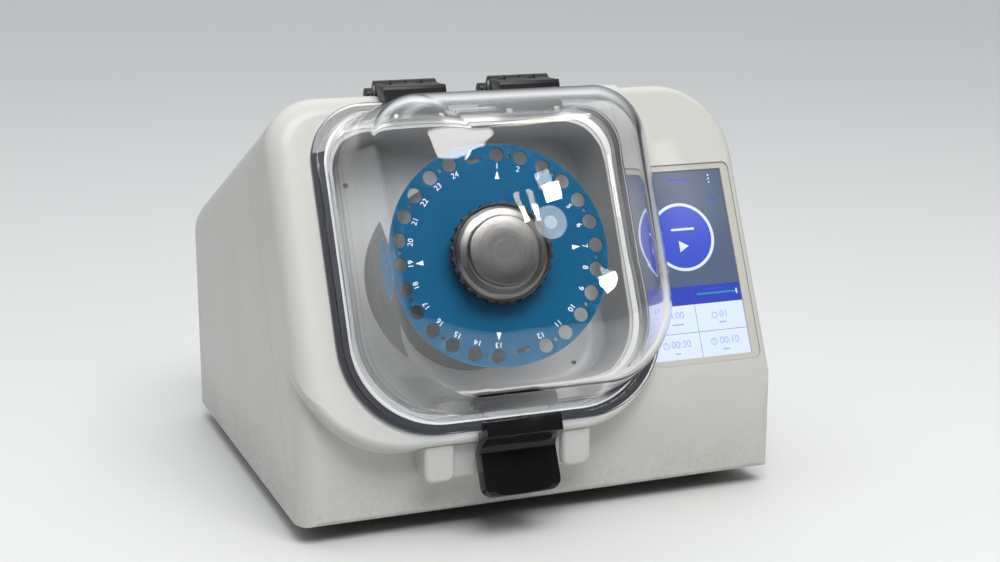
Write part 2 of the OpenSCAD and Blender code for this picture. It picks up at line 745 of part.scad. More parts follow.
module hinge_leaf() color([0.05, 0.05, 0.05]) {
    low = -hinge_v + seat_v + flange / 2;
    front = leaf_front - hinge_w;
    difference() {
        union() {
            knuckle_row(1, hinge_pin_r + run);
            leaf_arm(1) polygon([[knuckle_r - 1, 2], [-1.6, 9], [-7, 9], [-5.6, 6.6], [-2.4, 3], [0, 0]]);
            rotate([90, 0, 90]) linear_extrude(hinge_len, center = true) {
                // solid block over the roof edge, round bar in front and plate on the lid flange
                polygon([[0, knuckle_r + 1.3], [-6, front + 0.6], [low + 0.5, front + 0.1], [low + 0.5, 12],
                    [-11.5, 10], [-7.5, knuckle_r + 1.3]]);
                panel(low - 8, front + 0.05, -6.2, front + 3.6, [1, 0, 1.5, 1]);
                translate([-9.4, front + 0.4]) circle(3.4);
            }
        }
        for (x = [-1, 1]) translate([x * hinge_len * 0.4, low - leaf_screw, 0]) {
            rod(1.6, front - 10, front + 10);
            rod(3.1, front + 2.2, front + 10);
        }
    }
}

module hinge_base_left() hinge_at(-1) hinge_base();

module hinge_base_right() hinge_at(1) hinge_base();

module hinge_leaf_left() hinge_at(-1) hinge_leaf();

module hinge_leaf_right() hinge_at(1) hinge_leaf();

module hinge_pins() color([0.7, 0.7, 0.72]) hinge_places()
    rotate([90, 0, 90]) rod(hinge_pin_r, -hinge_len / 2 + 0.3, hinge_len / 2 - 0.3);

// Drive

module motor_bracket() color([0.6, 0.61, 0.62]) on_seat() difference() {
    plate(2 * post_reach + 26, 2 * post_reach + 26, 16, bracket_w - bracket_t, bracket_w);
    rod(32 + slip, bracket_w - 20, bracket_w + 20);
    for (x = [-1, 1], y = [-1, 1]) {
        translate([x * post_reach, y * post_reach, 0]) rod(2.6, bracket_w - 20, bracket_w + 20);
        translate([x * 33, y * 33, 0]) rod(2.1, bracket_w - 20, bracket_w + 20);
    }
    for (a = [0:90:270]) rotate([0, 0, a]) translate([90, 0, 0]) plate(36, 96, 14, bracket_w - 10, bracket_w + 5);
}

module isolator_mounts() color([0.10, 0.10, 0.10]) on_front() post_places()
    rotate_extrude() difference() {
        panel(2.1, bracket_w, 10, -seam_w, [0, 0, 1, 0]);
        translate([10.6, (bracket_w - seam_w) / 2]) circle(2.4);
    }

module bearing_housing() color([0.75, 0.76, 0.77]) on_seat() difference() {
    union() {
        rod(32, housing_low, -51);
        rod(54, bracket_w, -51);
        rod(50, motor_top, housing_low);
    }
    rod(shaft_r + 5, -130, 0);
    rod(20 + 0.01, -62, 0);
    rod(20 + 0.01, -130, -92);
    for (x = [-1, 1], y = [-1, 1]) translate([x * 33, y * 33, 0]) rod(2.1, -70, -40);
}

module ball_bearing(outer, bore, z0, z1) difference() {
    rod(outer, z0, z1);
    rod(bore, z0 - 1, z1 + 1);
    // shields sunk between the two rings
    for (z = [z0 - 0.5, z1 - 0.5]) tube(outer - 3, bore + 2.5, z, z + 1);
}

module shaft_bearings() color([0.7, 0.71, 0.73]) on_seat() {
    ball_bearing(20, shaft_r + run, -62, -52);
    ball_bearing(20, shaft_r + run, -102, -92);
}

module motor_body() color([0.18, 0.19, 0.20]) on_seat() difference() {
    union() {
        rod(motor_r - 4, motor_top - motor_len, motor_top);
        for (k = [0:35]) rotate([0, 0, 10 * k]) translate([motor_r - 5, -1.4, motor_top - motor_len])
            cube([4.2, 2.8, motor_len - 4]);
        rod(motor_r, motor_top - 8, motor_top);
    }
    rod(34, motor_top - motor_len - 1, motor_top - 6);
    rod(shaft_r + 2, motor_top - 20, motor_top + 1);
}

module motor_end_cap() color([0.25, 0.26, 0.27]) on_seat() {
    low = motor_top - motor_len;
    difference() {
        rotate_extrude() panel(0, low - 18, motor_r - 2, low, [0, 8, 0, 0]);
        rod(34, low - 6, low + 1);
        rod(shaft_r + run, low - 14, low + 1);
    }
}

module drive_shaft() color([0.72, 0.73, 0.75]) on_seat() difference() {
    union() {
        rod(shaft_r, motor_top - motor_len - 13, -8);
        rod(shaft_r + 3, -90, -64);
    }
    translate([shaft_r - 2.4, -2.5, -30]) cube([5, 5, 30]);
}

module motor_rotor() color([0.55, 0.45, 0.35]) on_seat()
    tube(32, shaft_r, motor_top - motor_len + 6, motor_top - 16);

module angled_hub() color([0.66, 0.67, 0.69]) difference() {
    union() {
        on_seat() rod(21, -44, -4);
        // inclined journal with its shoulder
        on_journal() {
            rod(journal_r, -12, plate_rise - 7.5);
            rod(journal_r + 3, -18, -6.6);
        }
    }
    on_seat() {
        rod(shaft_r, -60, -8);
        for (a = [0, 120]) rotate([0, 0, a]) translate([0, 0, -17]) rotate([0, 90, 0]) rod(2.2, shaft_r - 1, 30);
    }
}

module hub_screws() color([0.2, 0.2, 0.2]) on_seat()
    for (a = [0, 120]) rotate([0, 0, a]) translate([0, 0, -17]) rotate([0, 90, 0]) difference() {
        rod(2.1, shaft_r + 0.2, 20);
        translate([0, 0, 17]) cylinder(r = 1.2, h = 5, $fn = 6);
    }

module counterweight() color([0.45, 0.45, 0.46]) on_seat() rotate([0, 0, journal_az + 180]) difference() {
    rod(56, -42, -28);
    rod(21, -50, 0);
    translate([-130, -80, -50]) cube([130 - 4, 160, 40]);
    for (a = [-35, 35]) rotate([0, 0, a]) translate([42, 0, 0]) rod(6, -50, 0);
}

// Nutating carriage

module carriage_hub() color([0.70, 0.71, 0.73]) on_journal() difference() {
    union() {
        rod(bearing_r + 6, -8, plate_rise - 6);
        rod(48, -14, -8);
        rotate_extrude() polygon([[0, plate_rise - 14], [bearing_r + 6, plate_rise - 14], [46, plate_rise - 4],
            [46, plate_rise], [0, plate_rise]]);
        rod(20, 0, plate_rise + plate_t);
    }
    rod(bearing_r, -6.2, -6.2 + 2 * bearing_w + 1);
    rod(bearing_r + 3.5, -20, -6.2);
    rod(17, 0, plate_rise - 3);
    rod(stud_r, 0, plate_rise + 10);
    for (k = [0:magnet_count - 1]) rotate([0, 0, 360 * k / magnet_count]) translate([40.5, 0, 0])
        rod(magnet_r, -20, -11);
}

module carriage_bearings() color([0.62, 0.63, 0.66]) on_journal() {
    ball_bearing(bearing_r, journal_r + run, -6.2, -6.2 + bearing_w);
    ball_bearing(bearing_r, journal_r + run, -5.2 + bearing_w, -5.2 + 2 * bearing_w);
}

module carriage_stud() color([0.72, 0.73, 0.75]) on_journal() {
    rod(stud_r + 5, plate_rise - 7, plate_rise - 3);
    rod(stud_r, plate_rise - 4, knob_rise + knob_h - 6);
}

module carriage_magnets() color([0.72, 0.73, 0.75]) on_journal()
    for (k = [0:magnet_count - 1]) rotate([0, 0, 360 * k / magnet_count]) translate([40.5, 0, 0])
        rod(magnet_r, -14, -11);

// Tube places share the circle with two locating slots, one ahead of each half
function tube_angle(k) = (k + (k >= tube_count / 2 ? 1 : 0) + 0.5) * 360 / (tube_count + 2);

module tube_plate() color([0.0, 0.42, 0.64]) on_journal() difference() {
    rod(plate_d / 2, plate_rise, plate_rise + plate_t);
    rod(20 + run, 0, 60);
    for (k = [0:tube_count - 1]) rotate([0, 0, -tube_angle(k)]) translate([0, tube_circle / 2, 0])
        rod(tube_hole / 2, 0, 60);
    // small vent hole between the two tubes of each pair
    for (k = [0:2:tube_count - 1]) rotate([0, 0, -(tube_angle(k) + tube_angle(k + 1)) / 2])
        translate([0, tube_circle / 2 - 0.5, 0]) rod(1.5, 0, 60);
    for (k = [0, 1]) rotate([0, 0, 180 * k + 180 / (tube_count + 2)]) translate([0, tube_circle / 2 - 3.3, 0])
        plate(slot_len, slot_w, slot_w / 2 - 0.1, 0, 60);
}

// Clamp

module clamp_washer() color([0.6, 0.61, 0.63]) on_journal()
    tube(washer_r, stud_r + 0.3, washer_rise, washer_rise + washer_t);

module knob_body() color([0.45, 0.45, 0.44]) on_journal() difference() {
    union() {
        // lower disc, bevel and raised flat top
        rotate_extrude() polygon([[0, knob_rise], [knob_r - 4, knob_rise], [knob_r - 4, knob_rise + 3],
            [knob_r - 0.6, knob_rise + 3], [knob_r, knob_rise + 3.6], [knob_r, knob_rise + 11],
            [knob_r - 3, knob_rise + 14], [knob_top_r + 1.5, knob_rise + 14.6], [knob_top_r, knob_rise + 16],
            [knob_top_r, knob_rise + knob_h - 0.8], [knob_top_r - 0.8, knob_rise + knob_h], [0, knob_rise + knob_h]]);
    }
    rod(stud_r + run, knob_rise - 1, knob_rise + knob_h - 4);
}

module knob_grip_ring() color([0.05, 0.05, 0.05]) on_journal() translate([0, 0, knob_rise + 3.2])
    linear_extrude(grip_h) difference() {
        union() {
            circle(grip_r - 1.6, $fn = 112);
            for (k = [0:grip_teeth - 1]) rotate(360 * (k + 0.25) / grip_teeth)
                translate([grip_r - 1.9, 0]) rounded(3.8, 3.4, 0.9);
        }
        circle(knob_r + 0.01);
    }

// Lid

// Outline of the dome at one height: half sides x and y, upper and lower corner radii
function square_ring(q, n) = [for (c = [0:3], k = [0:n - 1])
    let (a = 90 * (c + k / (n - 1)), x = (c == 0 || c == 3) ? 1 : -1, y = c < 2 ? 1 : -1, r = c < 2 ? q[2] : q[3])
    [x * (q[0] - r) + r * cos(a), y * (q[1] - r) + r * sin(a), q[4]]];

// Half sides, corner radii and height from the flange up the walls and round the edge to the front
// face; inset is the distance in from the outer skin
function dome_rings(half, top, edge, inset) =
    let (d0 = (draft + draft_side) / 2, w1 = top - edge * (1 - sin(d0)), s1 = w1 - flange_w, r0 = dome_r - inset)
    concat([for (k = [0:2]) let (s = s1 * k / 2)
        [half - s * tan(draft_side), half - s * tan(draft), r0 + (dome_top_r - dome_r) * k / 2,
         r0 + low_more + (dome_low_r - dome_r - low_more) * k / 2, flange_w + s]],
    [for (k = [1:8]) let (a = d0 + (90 - d0) * k / 8, i = edge * (cos(d0) - cos(a)))
        [half - s1 * tan(draft_side) - i, half - s1 * tan(draft) - i, max(dome_top_r - inset - i, 6),
         max(dome_low_r - inset - i, 6), w1 + edge * (sin(a) - sin(d0))]]);

module loft(rings, n) {
    pts = [for (q = rings) each square_ring(q, n)];
    m = 4 * n;
    last = len(rings) - 1;
    polyhedron(pts, concat(
        [[for (k = [0:m - 1]) k]],
        [for (j = [0:last - 1], k = [0:m - 1])
            [j * m + k, (j + 1) * m + k, (j + 1) * m + (k + 1) % m, j * m + (k + 1) % m]],
        [[for (k = [m - 1:-1:0]) last * m + k]]));
}

module lid_shell() color([0.85, 0.87, 0.92, 0.35]) on_seat() difference() {
    union() {
        loft(dome_rings(dome / 2, dome_h, dome_edge, 0), 10);
        difference() {
            lid_plate(flange_wide, flange, flange_r, flange_w, flange_w + flange_t);
            lid_plate(dome - dome_t, dome - dome_t, dome_r - dome_t / 2, flange_w - 1, flange_w + flange_t + 1);
        }
        translate([2, 0, 0]) rod(gate_r, dome_h - 3, dome_h + 0.4);
    }
    translate([0, 0, -0.01]) intersection() {
        loft(dome_rings(dome / 2 - dome_t, dome_h - dome_t, dome_edge - dome_t, dome_t), 10);
        translate([-200, -200, flange_w]) cube([400, 400, 200]);
    }
    lid_screw_places() rod(1.6, flange_w + 1, flange_w + flange_t + 1);
}

// Blind screw holes in the flange, for both hinge leaves and for the latch bracket
module lid_screw_places() {
    for (side = [-1, 1], x = [-1, 1])
        translate([hinge_shift + side * hinge_span / 2 + x * hinge_len * 0.4, flange / 2 - leaf_screw, 0]) children();
    for (x = [-1, 1]) translate([x * 12, -flange / 2 + 3, 0]) children();
}

module lid_screws() color([0.6, 0.6, 0.62]) on_seat() {
    for (side = [-1, 1], x = [-1, 1])
        translate([hinge_shift + side * hinge_span / 2 + x * hinge_len * 0.4, flange / 2 - leaf_screw, leaf_front + 2.2])
            screw(1.5, 2.8, 1.2, flange_t + 0.8);
    for (x = [-1, 1]) translate([x * 12, -flange / 2 + 3, leaf_front + 0.7]) screw(1.5, 2.6, 1, flange_t - 0.6);
}

// Latch bracket on the lid: plate under the handle, two ears for its pin and the lock tongue
module latch_bracket() color([0.62, 0.63, 0.65]) on_front() translate([seat_u, 0, 0]) difference() {
    union() {
        translate([-25, web_v - tongue_t, leaf_front]) cube([50, 7 + tongue_t, 1.5]);
        translate([-25, web_v - tongue_t, flange_w]) cube([50, tongue_t, flange_t + 1]);
        for (x = [-21.5, 18.5]) translate([x, 0, 0]) rotate([90, 0, 90]) linear_extrude(3) {
            translate([latch_v, latch_w]) circle(ear_r);
            translate([latch_v - ear_r / 2, leaf_front]) square([ear_r * 1.5, latch_w - leaf_front]);
        }
        translate([-tongue_w / 2, web_v - tongue_t, -tongue_reach]) cube([tongue_w, tongue_t, tongue_reach + flange_w + 3]);
    }
    translate([0, latch_v, latch_w]) rotate([90, 0, 90]) rod(latch_pin_r, -40, 40);
    // notch that the lock bolt enters
    translate([tongue_w / 2 - bolt_travel + 0.6, web_v - 10, -bolt_w - bolt_r - 0.5])
        cube([20, 20, 2 * bolt_r + 1]);
    for (x = [-1, 1]) translate([x * 12, flange_low + 3, 0]) {
        rod(1.6, 0, 60);
        rod(2.8, leaf_front + 0.7, 60);
    }
}

module latch_pin() color([0.75, 0.75, 0.77]) on_front() translate([seat_u, latch_v, latch_w])
    rotate([90, 0, 90]) rod(latch_pin_r, -handle_len / 2 + 3, handle_len / 2 - 3);

module latch_spring() color([0.5, 0.5, 0.52]) on_front() translate([seat_u, latch_v, latch_w])
    rotate([90, 0, 90]) for (x = [10:1.7:17]) translate([0, 0, x])
        rotate_extrude() translate([latch_pin_r + 1.1, 0]) circle(0.7, $fn = 16);

module latch_handle() color([0.04, 0.04, 0.04]) on_front() translate([seat_u, 0, 0]) {
    top_v = latch_v + 7;
    front_w = leaf_front + 2 + block_d;
    low_v = latch_v - grip_len;
    face_w = grip_back + grip_t;
    difference() {
        union() {
            intersection() {
                rotate([90, 0, 90]) linear_extrude(handle_len, center = true) {
                    // top block over the flange; its back leans away, so that it can swing
                    intersection() {
                        panel(latch_v - 7, leaf_front, top_v, front_w, [0, 0, 2.5, 1]);
                        polygon([[latch_v - 9, leaf_front + 2], [latch_v, leaf_front + 2], [top_v, leaf_front + 4.3],
                            [top_v + 5, leaf_front + 5], [top_v + 5, front_w + 5], [latch_v - 9, front_w + 5]]);
                    }
                    // cheeks under the flange and the neck that leads back to the grip
                    polygon([[latch_v - 0.5, leaf_front + 3], [latch_v - 0.5, seat_h + 1.6], [latch_v - 6, seat_h + 1.6],
                        [latch_v - 11, grip_back + 4], [latch_v - 14, grip_back], [latch_v - 20, grip_back],
                        [latch_v - 20, face_w], [latch_v - 15.5, face_w], [latch_v - 12.5, face_w + 2],
                        [latch_v - 10.2, face_w + 5.5], [latch_v - 8.6, face_w + 11], [latch_v - 7, front_w - 1]]);
                    panel(low_v, grip_back, latch_v - 15, face_w, [5, 0, 0, 5]);
                }
                linear_extrude(80) panel(-handle_len / 2, low_v, handle_len / 2, top_v, [9, 9, 2, 2]);
            }
            // hook arm behind the grip
            rotate([90, 0, 90]) linear_extrude(hook_w, center = true) {
                panel(lip_v - 8, -10, lip_v - 3, grip_back + 4, [1, 0, 0, 0]);
                panel(lip_v - 8, -10, lip_v - 0.4, -4, [1, 1.5, 1.5, 1]);
            }
        }
        // wide scoop down the middle of the grip
        translate([0, latch_v - 16.5, face_w + 55.5]) rotate([90, 0, 0]) cylinder(r = 60, h = 60);
        // hollow for the bracket, its ears and the spring
        translate([-26, latch_v - 6.4, seat_h]) cube([52, 12, leaf_front + 2.1 - seat_h]);
        for (x = [-22.1, 17.9]) translate([x, latch_v - 6, seat_h]) cube([4.2, 12, latch_w + ear_r + 0.6 - seat_h]);
        translate([8, latch_v - 4.5, seat_h]) cube([10, 9, latch_w + ear_r + 0.4 - seat_h]);
        translate([0, latch_v, latch_w]) rotate([90, 0, 90]) rod(latch_pin_r + run, -handle_len / 2 + 2.7, handle_len / 2 - 2.7);
    }
}

// Electronics and rear panel

module control_board() color([0.05, 0.33, 0.16]) at_shell() translate([120, 120, 70]) {
    translate([0, 0, 0]) cube([1.6, 130, 90]);
    for (k = [0:3]) translate([-9, 12 + 30 * k, 12]) cube([9.01, 18, 14]);
    for (k = [0:2]) translate([-3, 14 + 40 * k, 44]) cube([3.01, 22, 22]);
    for (k = [0:2]) translate([0.01, 20 + 34 * k, 72]) rotate([0, -90, 0]) cylinder(r = 6, h = 16);
}

module power_supply() color([0.6, 0.62, 0.64]) at_shell() translate([95, 120, base_t + 0.5]) difference() {
    cube([86, 170, 42]);
    for (k = [0:11]) translate([10, 12 + 13 * k, 36]) cube([66, 5, 10]);
    translate([2, -1, 26]) cube([82, 16, 20]);
}

module panel_screw_places() for (x = [-1, 1], y = [-1, 1])
    translate([panel_x + x * (panel_w / 2 - 4), panel_z + y * (panel_h / 2 - 3), 0]) children();

module rear_panel() color([0.30, 0.31, 0.32]) on_rear() translate([0, 0, -wall - panel_t]) difference() {
    translate([panel_x, panel_z, 0]) linear_extrude(panel_t) rounded(panel_w, panel_h, 4);
    translate([fan_x, panel_z, -1]) linear_extrude(panel_t + 2) circle(fan_side * 0.47);
    translate([inlet_x, panel_z + 14, -1]) linear_extrude(panel_t + 2) rounded(28.4, 48.4, 1);
    translate([inlet_x, panel_z - 28, -1]) linear_extrude(panel_t + 2) rounded(27.6, 15.6, 1);
    translate([inlet_x - 32, panel_z + 20, -1]) linear_extrude(panel_t + 2) rounded(13.4, 6.2, 0.6);
    panel_screw_places() rod(1.7, -5, 10);
    fan_screw_places() rod(2.2, -5, 10);
}

module fan_screw_places_local() for (x = [-1, 1], y = [-1, 1])
    translate([x * fan_side * 0.447, y * fan_side * 0.447, 0]) children();

module fan_screw_places() translate([fan_x, panel_z, 0]) fan_screw_places_local() children();

module panel_screws() color([0.6, 0.6, 0.62]) on_rear() {
    panel_screw_places() screw(1.5, 3, 2, wall + 4);
    translate([0, 0, -wall + 1.2]) fan_screw_places() screw(2, 4, 2.4, 9);
}

// Appliance inlet: a socket over a fuse drawer, in one flanged body
module power_inlet() color([0.05, 0.05, 0.05]) on_rear() translate([inlet_x, panel_z + 14, -wall]) difference() {
    union() {
        linear_extrude(3) rounded(34, 54, 2);
        translate([0, 0, -26]) linear_extrude(26.5) rounded(28, 48, 1);
    }
    translate([0, 8, -17]) linear_extrude(40)
        polygon([[-12, 8], [12, 8], [12, -3], [7.5, -8], [-7.5, -8], [-12, -3]]);
    translate([0, -14, -23]) linear_extrude(40) rounded(20.8, 12.8, 0.8);
    // slots that the pins are pressed through
    for (x = [-7, 7]) translate([x - 1.05, 4.95, -30]) cube([2.1, 4.1, 20]);
    translate([-1.05, 9.95, -30]) cube([2.1, 4.1, 20]);
}

module inlet_pins() color([0.8, 0.8, 0.78]) on_rear() translate([inlet_x, panel_z + 22, -wall]) {
    for (x = [-7, 7]) translate([x - 1, -3, -30]) cube([2, 4, 26]);
    translate([-1, 2, -30]) cube([2, 4, 27.5]);
}

module fuse_drawer() color([0.06, 0.06, 0.06]) on_rear() translate([inlet_x, panel_z, -wall]) difference() {
    union() {
        translate([0, 0, -20]) linear_extrude(23.6) rounded(20, 12, 0.5);
        translate([0, 0, 3.2]) linear_extrude(1.2) rounded(22, 14, 1);
    }
    // two fuse cradles and a grip notch
    for (y = [-3, 3]) translate([-8.5, y - 2.2, -18.5]) cube([17, 4.4, 18]);
    translate([0, -9.4, 3.4]) rotate([0, 90, 0]) cylinder(r = 3.4, h = 10, center = true);
}

module switch_frame() color([0.05, 0.05, 0.05]) on_rear() translate([inlet_x, panel_z - 28, -wall]) difference() {
    union() {
        linear_extrude(2.5) rounded(32, 20, 2);
        translate([0, 0, -16]) linear_extrude(16.5) rounded(27, 15, 1);
    }
    translate([0, 0, -12]) linear_extrude(40) rounded(22, 11, 0.6);
}

// Rocker turns on trunnions along the panel's upright
module switch_rocker() color([0.06, 0.06, 0.06]) on_rear() translate([inlet_x, panel_z - 28, -wall]) {
    rotate([90, 0, 0]) linear_extrude(10, center = true) difference() {
        polygon([[-9.6, -5], [9.6, -5], [9.6, 4.6], [0, 1.8], [-9.6, 2.4]]);
        translate([-40, -46]) square([80, 40]);
    }
    rotate([90, 0, 0]) translate([0, -2, 0]) rod(1.5, -5.3, 5.3);
}

module usb_port() color([0.75, 0.75, 0.76]) on_rear() translate([inlet_x - 32, panel_z + 20, -wall]) {
    translate([0, 0, -14]) linear_extrude(15) difference() {
        rounded(13, 5.8, 0.5);
        rounded(12, 4.9, 0.3);
    }
    color([0.9, 0.9, 0.9]) translate([-5.6, 0.2, -14]) cube([11.2, 1.8, 12.5]);
}

module fan_frame() color([0.07, 0.07, 0.07]) on_rear()
    translate([fan_x, panel_z, -wall - panel_t - fan_d]) difference() {
        linear_extrude(fan_d) rounded(fan_side, fan_side, 4);
        difference() {
            rod(fan_side * 0.475, -1, fan_d + 1);
            rod(fan_side * 0.2, 0, 3);
            for (a = [45:90:315]) rotate([0, 0, a]) translate([0, -2.5, 0]) cube([fan_side / 2, 5, 3]);
        }
        for (x = [-1, 1], y = [-1, 1]) translate([x * fan_side * 0.447, y * fan_side * 0.447, 0])
            rod(2, -1, fan_d + 1);
        for (x = [0:90:270]) rotate([0, 0, x]) translate([fan_side / 2 - 2, 0, 4])
            linear_extrude(fan_d - 8) rounded(10, fan_side * 0.5, 2);
    }

module fan_rotor() color([0.10, 0.10, 0.10]) on_rear()
    translate([fan_x, panel_z, -wall - panel_t - fan_d]) {
        difference() {
            rod(fan_side * 0.2, 3.6, fan_d - 1.5);
            rod(fan_side * 0.2 - 2, 3, fan_d - 4);
        }
        for (k = [0:fan_blades - 1]) rotate([0, 0, 360 * k / fan_blades])
            translate([fan_side * 0.18, 0, (fan_d + 2) / 2]) rotate([40, 0, 0])
            translate([0, -1, -9]) cube([fan_side * 0.27, 2, 18]);
    }

module fan_guard() color([0.7, 0.7, 0.72]) on_rear() translate([fan_x, panel_z, -wall + 0.6]) {
    for (r = [fan_side * 0.14:fan_side * 0.085:fan_side * 0.44]) tube(r + 0.6, r - 0.6, -0.3, 0.9);
    for (a = [45:90:315]) rotate([0, 0, a]) translate([fan_side * 0.12, -0.6, -0.6])
        cube([fan_side * 0.475, 1.2, 0.9]);
    fan_screw_places_local() tube(3.2, 2, -0.6, 0.3);
}

front_shell();
rear_shell();
base_plate();
feet();
foot_screws();
chamber_liner();
drive_guard();
guard_magnets();
lid_gasket();
display_bezel();
display_glass();
display_module();
latch_keeper();
front_screws();
lock_solenoid();
interlock_switch();
hinge_base_left();
hinge_base_right();
hinge_pins();
motor_bracket();
isolator_mounts();
bearing_housing();
shaft_bearings();
motor_body();
motor_end_cap();
control_board();
power_supply();
rear_panel();
panel_screws();
power_inlet();
inlet_pins();
switch_frame();
usb_port();
fan_frame();
fan_guard();
drive_shaft();
motor_rotor();
angled_hub();
counterweight();
hub_screws();
carriage_hub();
carriage_bearings();
carriage_stud();
carriage_magnets();
tube_plate();
clamp_washer();
knob_body();
knob_grip_ring();
lid_shell();
hinge_leaf_left();
hinge_leaf_right();
lid_screws();
latch_bracket();
latch_pin();
latch_spring();
latch_handle();
lock_bolt();
switch_rocker();
fuse_drawer();
fan_rotor();
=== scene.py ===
from math import cos, hypot, pi, radians, sin, tan

import bpy
from mathutils import Matrix, Vector


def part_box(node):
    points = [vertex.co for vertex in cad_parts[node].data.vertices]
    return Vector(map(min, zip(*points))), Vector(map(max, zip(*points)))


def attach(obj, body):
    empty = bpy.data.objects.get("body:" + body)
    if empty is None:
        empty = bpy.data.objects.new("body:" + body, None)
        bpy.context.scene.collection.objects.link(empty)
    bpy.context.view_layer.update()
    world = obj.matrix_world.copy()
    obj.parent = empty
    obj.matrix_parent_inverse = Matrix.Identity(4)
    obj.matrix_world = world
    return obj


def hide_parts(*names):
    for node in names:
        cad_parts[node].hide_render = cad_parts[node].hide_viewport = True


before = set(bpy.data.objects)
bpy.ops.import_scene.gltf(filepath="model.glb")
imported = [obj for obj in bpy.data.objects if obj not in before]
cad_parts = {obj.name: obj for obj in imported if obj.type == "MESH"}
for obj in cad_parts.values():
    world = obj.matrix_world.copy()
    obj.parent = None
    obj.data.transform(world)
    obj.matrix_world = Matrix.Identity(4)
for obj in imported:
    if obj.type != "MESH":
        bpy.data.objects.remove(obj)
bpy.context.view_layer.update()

# Camera where the photograph was taken from, left of the machine and a little above it, with
# the photograph's own perspective.
look_down, look_right = radians(13.274), radians(21.446)
bpy.ops.object.camera_add(location=(-0.4959, -1.2883, 0.4857), rotation=(pi / 2 - look_down, 0, -look_right))
camera = bpy.context.object
camera.data.lens, camera.data.sensor_width = 61.94, 36
bpy.context.scene.camera = camera

# Floor: plain and pale, and wide enough to fill the view.
bpy.ops.object.select_all(action="DESELECT")
bpy.ops.mesh.primitive_plane_add(size=40)
floor = bpy.context.object
floor.name = "floor"
floor.data.materials.append(bpy.data.materials.new("floor_paint"))
floor.active_material.use_nodes = True
floor_skin = floor.active_material.node_tree.nodes["Principled BSDF"]
floor_skin.inputs["Base Color"].default_value = (0.66, 0.665, 0.66, 1)
floor_skin.inputs["Roughness"].default_value = 0.6

# Soft room light that comes from above and behind, a large softbox in front, and the small windows
# and ceiling tubes whose reflections sit in the clear lid.
bpy.context.scene.world = bpy.data.worlds.new("room")
bpy.context.scene.world.use_nodes = True
room = bpy.context.scene.world.node_tree
room_light = room.nodes["Background"].inputs
room_light["Color"].default_value = (0.95, 0.975, 1.0, 1)
room_height = room.nodes.new("ShaderNodeVectorMath")
room_height.operation = "DOT_PRODUCT"
room_height.inputs[1].default_value = (0, 0.35, 0.94)
room.links.new(room.nodes.new("ShaderNodeTexCoord").outputs["Generated"], room_height.inputs[0])
room_range = room.nodes.new("ShaderNodeMapRange")
for socket, value in (("From Min", 0.3), ("From Max", 0.9), ("To Min", 0.06), ("To Max", 1.22)):
    room_range.inputs[socket].default_value = value
room.links.new(room_height.outputs["Value"], room_range.inputs["Value"])
room.links.new(room_range.outputs["Result"], room_light["Strength"])
bpy.context.scene.view_settings.view_transform = "Standard"
machine_middle = Vector((0, -0.05, 0.17))
soft_white, sky_white, daylight = (1.0, 0.99, 0.97), (0.95, 0.97, 1.0), (0.92, 0.95, 1.0)
tube_white, tube_warm = (1.0, 0.93, 0.76), (1.0, 0.93, 0.72)
for name, place, width, height, power, colour in (
    ("softbox", (-0.05, -1.65, 2.55), 2.0, 1.3, 66, soft_white),
    ("ceiling", (-0.5, 0.9, 2.4), 1.6, 0.5, 5, sky_white),
    ("window_1", (0.889, -1.946, 1.642), 0.052, 0.046, 0.30, daylight),
    ("window_2", (1.04, -2.05, 1.38), 0.060, 0.080, 0.50, daylight),
    ("window_3", (0.55, -1.90, 1.84), 0.10, 0.08, 0.50, daylight),
    ("tube_1", (0.800, -1.975, 1.590), 0.014, 0.048, 0.08, tube_warm),
    ("tube_2", (0.832, -1.960, 1.586), 0.014, 0.048, 0.08, tube_warm),
    ("tube_3", (0.93, -0.56, 2.49), 0.50, 0.10, 1.6, tube_white),
    ("tube_4", (1.25, -1.78, 1.56), 0.05, 0.20, 0.5, tube_white),
):
    bpy.ops.object.light_add(type="AREA", location=place)
    lamp = bpy.context.object
    lamp.name = name
    lamp.rotation_euler = (machine_middle - Vector(place)).to_track_quat("-Z", "Y").to_euler()
    lamp.data.shape = "RECTANGLE"
    lamp.data.size, lamp.data.size_y = width, height
    lamp.data.energy, lamp.data.color = power, colour


# Housing shells: two deep moulded halves with a satin warm grey paint, which shows a fine orange peel, and
# turns a little darker and rougher in speckled patches low down.
class Wire:
    """A node's output; arithmetic on it adds Math nodes."""

    def __init__(self, finish, socket):
        self.finish, self.socket = finish, socket

    def math(self, operation, *values):
        return self.finish.node("ShaderNodeMath", {"operation": operation}, dict(enumerate(values)))

    def __add__(self, other):
        return self.math("ADD", self, other)

    def __sub__(self, other):
        return self.math("SUBTRACT", self, other)

    def __rsub__(self, other):
        return self.math("SUBTRACT", other, self)

    def __mul__(self, other):
        return self.math("MULTIPLY", self, other)

    def __pow__(self, other):
        return self.math("POWER", self, other)

    __radd__, __rmul__ = __add__, __mul__


